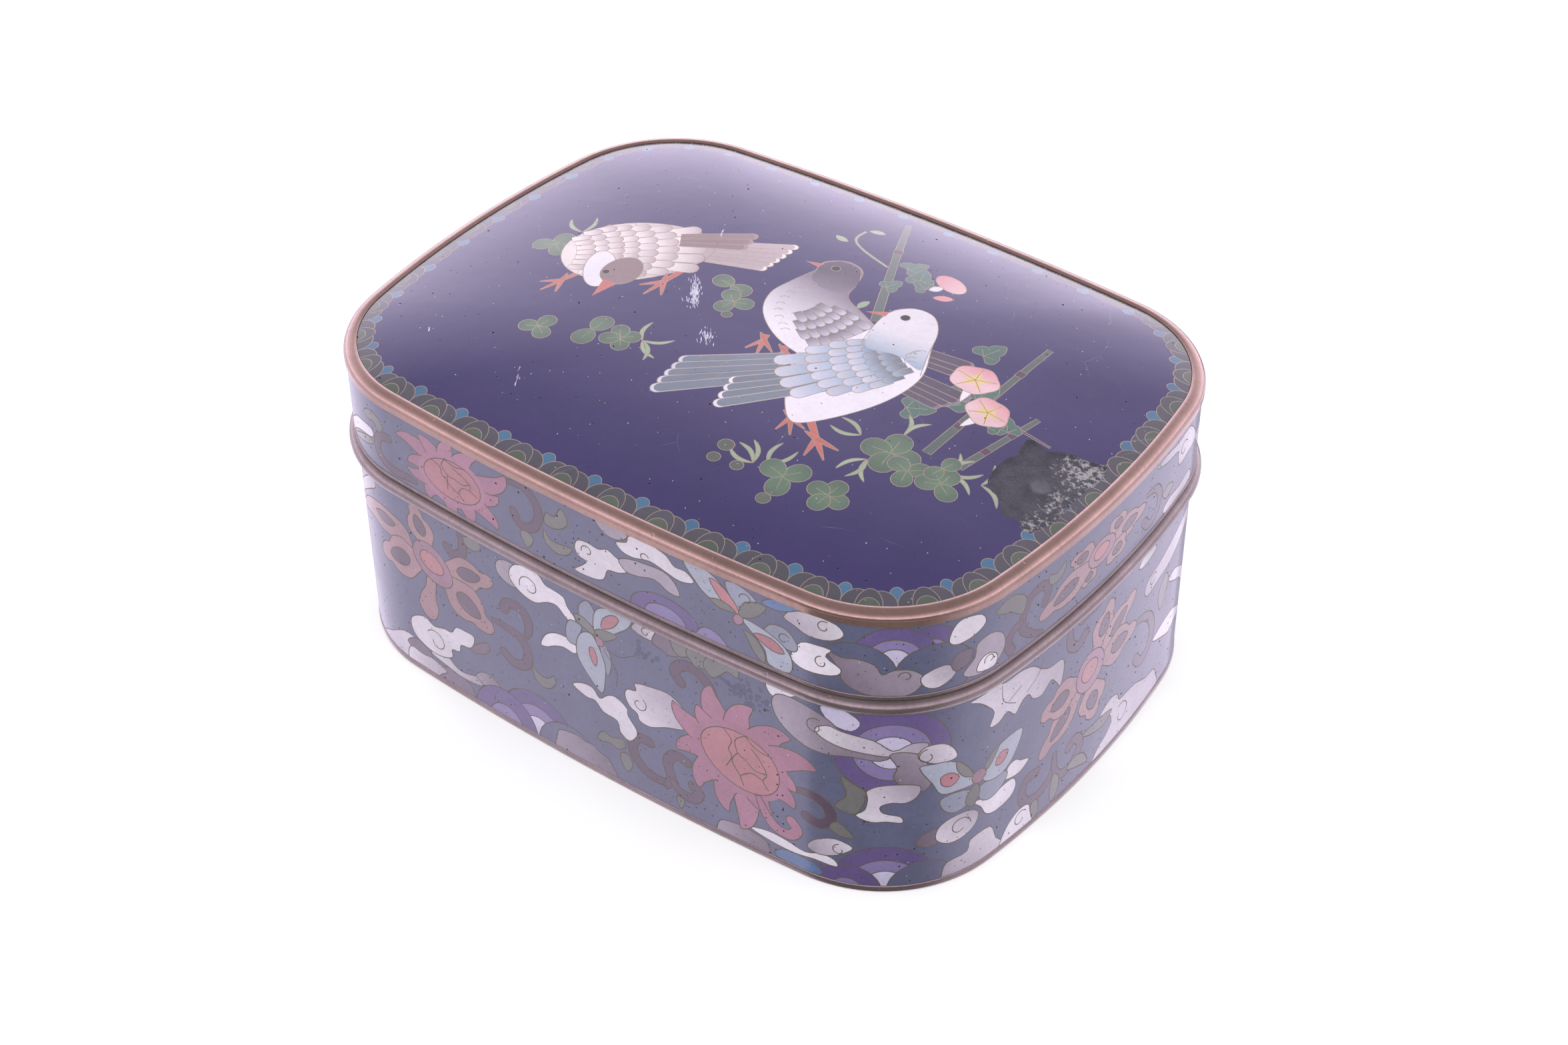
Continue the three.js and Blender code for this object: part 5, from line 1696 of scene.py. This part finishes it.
def metal(name, colour, rough, tarnish, tarnish_colour, metallic):
    """Copper alloy under a thin dull skin, with cloudy tarnish and small dents."""
    if found(name):
        return found(name)
    finish = Finish(name)
    tree = finish.tree
    cloudy = finish.group(mottle_group(), Size=0.009, Detail=6.0, Contrast=1.7)
    fine = finish.group(mottle_group(), Size=0.0008, Detail=4.0, Contrast=1.7)
    mixed = maths(tree, "MULTIPLY_ADD", fine, 0.4, maths(tree, "MULTIPLY", cloudy, 0.6))
    share = finish.ramp(mixed, 0.3, 0.8, 0.0, tarnish)
    finish.link("Base Color", finish.mix(share, linear(colour), linear(tarnish_colour)))
    finish.link("Roughness", maths(tree, "MULTIPLY_ADD", share, 0.22, rough))
    finish.set(Metallic=metallic)
    dents = finish.group(pinholes_group(), Spacing=0.0024, Share=0.35, Radius=0.16)
    height = maths(tree, "MULTIPLY_ADD", dents, -0.7, maths(tree, "MULTIPLY", mixed, 0.5))
    finish.bump(height, 0.00008, 0.7)
    return finish.material


def side_wire():
    return metal("side_wire_metal", (0.4, 0.37, 0.31), rough=0.45, tarnish=0.6,
                 tarnish_colour=(0.3, 0.28, 0.26), metallic=0.35)


def lid_wire():
    return metal("lid_wire_metal", (0.64, 0.58, 0.52), rough=0.4, tarnish=0.5,
                 tarnish_colour=(0.46, 0.4, 0.37), metallic=0.5)


def rim_copper():
    return metal("rubbed_copper", colours().copper, rough=0.12, tarnish=0.5,
                 tarnish_colour=(0.42, 0.34, 0.315), metallic=0.6)


# Tarnished copper of the bead and the foot. On the lid's lower edge the same darker copper is painted shade,
# standing for the shade in the gap between the lid and the bead.
def dark_copper():
    return metal("tarnished_copper", colours().brown_copper, rough=0.2, tarnish=0.6,
                 tarnish_colour=(0.35, 0.3, 0.29), metallic=0.5)


def counter_enamel():
    """Plain pooled glaze with an orange-peel surface."""
    name = "counter_enamel_glaze"
    if found(name):
        return found(name)
    finish = Finish(name)
    tree = finish.tree
    cloudy = finish.group(mottle_group(), Size=0.01, Detail=5.0, Contrast=1.8)
    base = linear(colours().counter)
    finish.link("Base Color", finish.mix(cloudy, base * 0.72, base * 1.2))
    peel = finish.group(mottle_group(), Size=0.0016, Detail=1.0, Contrast=1.0)
    finish.link("Roughness", maths(tree, "MULTIPLY_ADD", peel, 0.16, 0.2))
    pits = finish.group(pinholes_group(), Spacing=0.003, Share=0.5, Radius=0.14)
    finish.bump(maths(tree, "MULTIPLY_ADD", pits, -1.0, peel), 0.0003, 0.7)
    return finish.material


def old_filler():
    """Dark gritty stuff where the enamel is lost, paler where it is worn through."""
    name = "old_filler"
    if found(name):
        return found(name)
    finish = Finish(name)
    tree = finish.tree
    grains = finish.group(mottle_group(), Size=0.0005, Detail=5.0, Contrast=3.4)
    crumbs = finish.group(mottle_group(), Size=0.0011, Detail=3.0, Contrast=4.0)
    patches = finish.group(mottle_group(), Size=0.004, Detail=3.0, Contrast=2.6)
    place_of = place(tree, "ShaderNodeSeparateXYZ", {0: finish.where})
    right = finish.ramp(place_of.outputs[0], *(x * MM for x in LOSS_WORN_RIGHT))
    back = finish.ramp(place_of.outputs[1], *(y * MM for y in LOSS_WORN_BACK))
    edge = finish.ramp(place_of.outputs[0], *(x * MM for x in LOSS_WORN_EDGE), 0.0, 0.75)
    where_worn = maths(tree, "MAXIMUM", maths(tree, "MULTIPLY", right, back), edge)
    worn = maths(tree, "MULTIPLY", where_worn, crumbs)
    from_blister = place(tree, "ShaderNodeVectorMath", {
        0: place(tree, "ShaderNodeCombineXYZ", {0: place_of.outputs[0], 1: place_of.outputs[1]}).outputs[0],
        1: (BLISTER[0] * MM, BLISTER[1] * MM, 0),
    }, operation="DISTANCE").outputs["Value"]
    on_blister = finish.ramp(from_blister, BLISTER_RADIUS * MM, 0.6 * BLISTER_RADIUS * MM)
    blister = maths(tree, "MULTIPLY", on_blister, 0.55)
    dark = finish.mix(patches, (0.05, 0.048, 0.066), (0.1, 0.094, 0.125))
    raised = finish.mix(blister, dark, (0.24, 0.23, 0.29))
    pale = finish.ramp(maths(tree, "MULTIPLY_ADD", grains, 0.55, worn), 0.62, 1.1)
    finish.link("Base Color", finish.mix(pale, raised, (0.52, 0.48, 0.52)))
    finish.link("Roughness", maths(tree, "MULTIPLY_ADD", grains, 0.3, 0.55))
    finish.bump(grains, 0.0003, 0.9)
    return finish.material


# Profiles of the rims, as (offset outwards, height) in mm

FOOT_WIDTH = 4.4
FOOT_ROUNDING = 0.4
BEAD_INNER = -0.35
COLLAR_OUTER = -2.45
COLLAR_WALL = 0.9
COLLAR_CHAMFER = 0.2
LOWER_ROUNDING = 0.25
BAND_HEIGHT = 1.4
CREST_INSET = 2.1
SHOULDER_WIDTH = 2.6
LEDGE_WIDTH = 1.3
LEDGE_THICKNESS = 0.5
SHOULDER_STEP = 0.1
SHOULDER_GROOVE = 0.08
CROWN_DROP = 0.25


def rounded(points, radius, steps=4):
    """A closed outline of straight lines with round corners."""
    points = np.asarray(points, float)
    line = []
    for before, corner, after in zip(np.roll(points, 1, axis=0), points, np.roll(points, -1, axis=0)):
        reach = min(radius, np.linalg.norm(before - corner) / 2.2, np.linalg.norm(after - corner) / 2.2)
        start = corner + (before - corner) / np.linalg.norm(before - corner) * reach
        end = corner + (after - corner) / np.linalg.norm(after - corner) * reach
        for t in np.linspace(0, 1, steps):
            line.append((1 - t) ** 2 * start + 2 * t * (1 - t) * corner + t**2 * end)
    return line


def foot_profile():
    """The foot's section, lifted so that its stray doesn't reach through the floor."""
    low, high = node_box("body_foot_rim")
    outer = offset_of("body_foot_rim")
    inner = outer - FOOT_WIDTH
    bottom = low[2] + sizes().unevenness / 2 / MM
    return rounded([(inner, bottom), (outer, bottom), (outer, high[2]), (inner, high[2])], FOOT_ROUNDING)


def mouth_profile():
    """The bead, the seat that the lid rests on and the collar that stands inside it."""
    low, high = node_box("body_mouth_rim")
    outer = offset_of("body_mouth_rim")
    bottom = node_box("body_side_band")[1][2]
    seat = node_box("lid_lower_rim")[0][2]
    collar_inner = COLLAR_OUTER - COLLAR_WALL
    shoulder = high[2] - COLLAR_CHAMFER
    tall = (seat - bottom) / 2
    bead = [(BEAD_INNER + (outer - BEAD_INNER) * math.cos(a), bottom + tall + tall * math.sin(a))
            for a in np.linspace(-math.pi / 2, math.pi / 2, 15)]
    return [(COLLAR_OUTER, bottom), *bead, (COLLAR_OUTER, seat), (COLLAR_OUTER, shoulder),
            (COLLAR_OUTER - COLLAR_CHAMFER, high[2]), (collar_inner + COLLAR_CHAMFER, high[2]),
            (collar_inner, shoulder), (collar_inner, low[2]), (COLLAR_OUTER, low[2])]


def lower_rim_profile():
    low, high = node_box("lid_lower_rim")
    outer = offset_of("lid_lower_rim")
    inner = -sizes().wall / MM
    corners = [(inner, low[2]), (outer, low[2]), (outer, high[2]), (inner, high[2])]
    return rounded(corners, LOWER_ROUNDING)


def shoulder_profile():
    """An upright band, a round crown above it and the ledge inside that carries the panel."""
    high = node_box("lid_shoulder_rim")[1]
    outer = offset_of("lid_shoulder_rim")
    bottom = node_box("lid_side_band")[1][2]
    band_top = bottom + BAND_HEIGHT
    crest = outer - CREST_INSET
    inner = outer - SHOULDER_WIDTH
    ledge = inner - LEDGE_WIDTH
    ledge_top = bottom + LEDGE_THICKNESS
    band_face = outer - SHOULDER_STEP
    crown = [(crest + (band_face - crest) * math.cos(a), band_top + (high[2] - band_top) * math.sin(a))
             for a in np.linspace(0, math.pi / 2, 12)]
    return [(ledge, bottom), (band_face, bottom), (outer, bottom + SHOULDER_STEP),
            (outer, band_top - SHOULDER_GROOVE), *crown, (inner, high[2] - CROWN_DROP), (inner, ledge_top),
            (ledge, ledge_top)]


# Operators

def settle(piece, node):
    """Sets a piece to ride on the body and hides the part of the model that it stands in for."""
    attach(piece, BODY)
    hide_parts(node)


class ENAMELBOX_OT_sides(bpy.types.Operator):
    """Make the enamelled walls of the body and of the lid"""
    bl_idname = "enamel_box.sides"
    bl_label = "Enamelled Walls"

    def execute(self, context):
        half = Outline().around / 2
        for name, node, motifs, rows in (("body_enamel_wall", "body_side_band", body_motifs, 3),
                                         ("lid_enamel_wall", "lid_side_band", lid_side_motifs, 5)):
            whole = Drawing(sizes().side_wire)
            for turn in (-1, 0, 1, 2):
                one = Drawing(sizes().side_wire)
                motifs(one, hidden=turn % 2 == 1)
                for points, colour, shade in one.shapes:
                    if shade:
                        shade = (shade[0], shade[1] + [turn * half, 0], shade[2] + [turn * half, 0])
                    whole.shapes.append((points + [turn * half, 0], colour, shade))
            settle(enamel_band(name, node, whole, rows, sizes().seed), node)
        return {"FINISHED"}


class ENAMELBOX_OT_picture(bpy.types.Operator):
    """Make the lid's domed panel with its picture and its lost patch"""
    bl_idname = "enamel_box.picture"
    bl_label = "Pictured Panel"

    def execute(self, context):
        settle(lid_panel("lid_picture_panel"), "lid_top_panel")
        return {"FINISHED"}


class ENAMELBOX_OT_rims(bpy.types.Operator):
    """Sweep the copper rims round the box"""
    bl_idname = "enamel_box.rims"
    bl_label = "Copper Rims"

    def execute(self, context):
        rims = (
            ("foot_ring", "body_foot_rim", foot_profile(), dark_copper(), "dark_copper"),
            ("mouth_bead", "body_mouth_rim", mouth_profile(), dark_copper(), "dark_copper"),
            # The lid's lower edge gets the darker copper as painted shade for the gap between the lid and the
            # bead.
            ("lid_lower_edge", "lid_lower_rim", lower_rim_profile(), dark_copper(), "copper"),
            ("lid_shoulder", "lid_shoulder_rim", shoulder_profile(), rim_copper(), "copper"),
        )
        for seed, (name, node, profile, material, slot) in enumerate(rims):
            settle(swept_rim(name, profile, material, seed), node)
        return {"FINISHED"}


class ENAMELBOX_OT_base(bpy.types.Operator):
    """Glaze the plate under the box"""
    bl_idname = "enamel_box.base"
    bl_label = "Base Plate"

    def execute(self, context):
        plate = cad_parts["body_base_plate"]
        plate.data.materials.clear()
        plate.data.materials.append(counter_enamel())
        return {"FINISHED"}


CAMERA_TARGET = Vector((7.582, -6.202, 32)) * MM
CAMERA_AZIMUTH = math.radians(37.157)
CAMERA_ELEVATION = math.radians(38.857)
CAMERA_ROLL = math.radians(-0.38)
CAMERA_DISTANCE = 533 * MM
CAMERA_LENS = 63.884
FLOOR_HALF = 2.5
FLOOR_GLOW = 0.32
LIGHT_STRENGTH = 1.05
MIRRORED_TINT = (1, 0.9, 1.1, 1)
MIRRORED_LOW = 3.5
MIRRORED_OVERHEAD = 0.5


class ENAMELBOX_OT_stage(bpy.types.Operator):
    """Set the floor, the light and the camera"""
    bl_idname = "enamel_box.stage"
    bl_label = "Stage"

    def execute(self, context):
        self.floor()
        self.camera()
        self.light()
        context.scene.view_settings.view_transform = "Standard"
        return {"FINISHED"}

    def floor(self):
        mesh = bpy.data.meshes.new("floor")
        corners = [(x * FLOOR_HALF, y * FLOOR_HALF, 0) for x, y in ((-1, -1), (1, -1), (1, 1), (-1, 1))]
        mesh.from_pydata(corners, [], [(0, 1, 2, 3)])
        floor = bpy.data.objects.new("floor", mesh)
        bpy.context.scene.collection.objects.link(floor)
        finish = Finish("floor_paper")
        finish.set(Base_Color=(0.94, 0.94, 0.94, 1), Roughness=1.0, Specular_IOR_Level=0.0,
                   Emission_Color=(1, 1, 1, 1), Emission_Strength=FLOOR_GLOW)
        mesh.materials.append(finish.material)
        floor.visible_glossy = False

    def camera(self):
        away = Vector((math.sin(CAMERA_AZIMUTH) * math.cos(CAMERA_ELEVATION),
                       -math.cos(CAMERA_AZIMUTH) * math.cos(CAMERA_ELEVATION), math.sin(CAMERA_ELEVATION)))
        data = bpy.data.cameras.new("photo_camera")
        data.sensor_width = 36
        data.lens = CAMERA_LENS
        data.clip_start = 0.05
        data.clip_end = 20
        camera = bpy.data.objects.new("photo_camera", data)
        camera.location = CAMERA_TARGET + away * CAMERA_DISTANCE
        camera.rotation_euler = (away.to_track_quat("Z", "Y").to_matrix()
                                 @ Matrix.Rotation(CAMERA_ROLL, 3, "Z")).to_euler()
        bpy.context.scene.collection.objects.link(camera)
        bpy.context.scene.camera = camera

    def light(self):
        """Even white light. What the glaze mirrors is bright low down behind and to the left, dark overhead
        and dark towards the corner that faces the camera."""
        world = bpy.data.worlds.new("studio")
        world.use_nodes = True
        bpy.context.scene.world = world
        tree = world.node_tree
        background = tree.nodes["Background"]
        direction = place(tree, "ShaderNodeTexCoord").outputs["Generated"]
        parts = place(tree, "ShaderNodeSeparateXYZ", {0: direction})
        x, y, z = parts.outputs
        azimuth = maths(tree, "ARCTAN2", x, maths(tree, "MULTIPLY", y, -1.0))

        def ramp(value, low, high, start, end):
            return place(tree, "ShaderNodeMapRange", {
                "Value": value, "From Min": low, "From Max": high, "To Min": start, "To Max": end,
            }, interpolation_type="SMOOTHSTEP").outputs[0]

        from_left = maths(tree, "MULTIPLY", ramp(azimuth, math.radians(-26), math.radians(-20), 1.75, 0.1),
                          ramp(azimuth, math.radians(-150), math.radians(-95), 0.4, 1.0))
        to_right = ramp(azimuth, math.radians(60), math.radians(105), 0.0, 1.4)
        far_right = ramp(azimuth, math.radians(118), math.radians(165), 0.0, 0.4)
        below = maths(tree, "ADD", maths(tree, "ADD", from_left, to_right), far_right)
        above = ramp(z, 0.1, 0.95, MIRRORED_LOW, MIRRORED_OVERHEAD)
        share = ramp(z, -0.1, 0.05, 0.0, 1.0)
        mirrored = maths(tree, "ADD", maths(tree, "MULTIPLY", above, share),
                         maths(tree, "MULTIPLY", below, maths(tree, "SUBTRACT", 1.0, share)))
        path = place(tree, "ShaderNodeLightPath")
        glossy = path.outputs["Is Glossy Ray"]
        strength = maths(tree, "ADD", maths(tree, "MULTIPLY", mirrored, glossy),
                         maths(tree, "MULTIPLY", LIGHT_STRENGTH, maths(tree, "SUBTRACT", 1.0, glossy)))
        tree.links.new(strength, background.inputs["Strength"])
        tint = place(tree, "ShaderNodeMix", {6: (1, 1, 1, 1), 7: MIRRORED_TINT}, data_type="RGBA")
        tree.links.new(glossy, tint.inputs[0])
        tree.links.new(tint.outputs[2], background.inputs["Color"])


OPERATORS = (
    ENAMELBOX_OT_sides,
    ENAMELBOX_OT_picture,
    ENAMELBOX_OT_rims,
    ENAMELBOX_OT_base,
    ENAMELBOX_OT_stage,
)


class ENAMELBOX_PT_panel(bpy.types.Panel):
    """Lists the box's pieces and its sizes"""
    bl_idname = "ENAMELBOX_PT_panel"
    bl_label = "Enamel Box"
    bl_space_type = "VIEW_3D"
    bl_region_type = "UI"
    bl_category = "Enamel Box"

    def draw(self, context):
        for operator in OPERATORS:
            self.layout.operator(operator.bl_idname)
        for group in (sizes(), colours()):
            column = self.layout.column()
            for name in group.__annotations__:
                column.prop(group, name)


CLASSES = (BoxSizes, BoxColours, *OPERATORS, ENAMELBOX_PT_panel)


def register():
    for cls in CLASSES:
        bpy.utils.register_class(cls)
    bpy.types.Scene.enamel_box_sizes = PointerProperty(type=BoxSizes)
    bpy.types.Scene.enamel_box_colours = PointerProperty(type=BoxColours)


def unregister():
    del bpy.types.Scene.enamel_box_colours
    del bpy.types.Scene.enamel_box_sizes
    for cls in reversed(CLASSES):
        bpy.utils.unregister_class(cls)


def main():
    register()
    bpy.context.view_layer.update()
    bpy.ops.enamel_box.sides()
    bpy.ops.enamel_box.picture()
    bpy.ops.enamel_box.rims()
    bpy.ops.enamel_box.base()
    bpy.ops.enamel_box.stage()


if __name__ == "__main__":
    main()
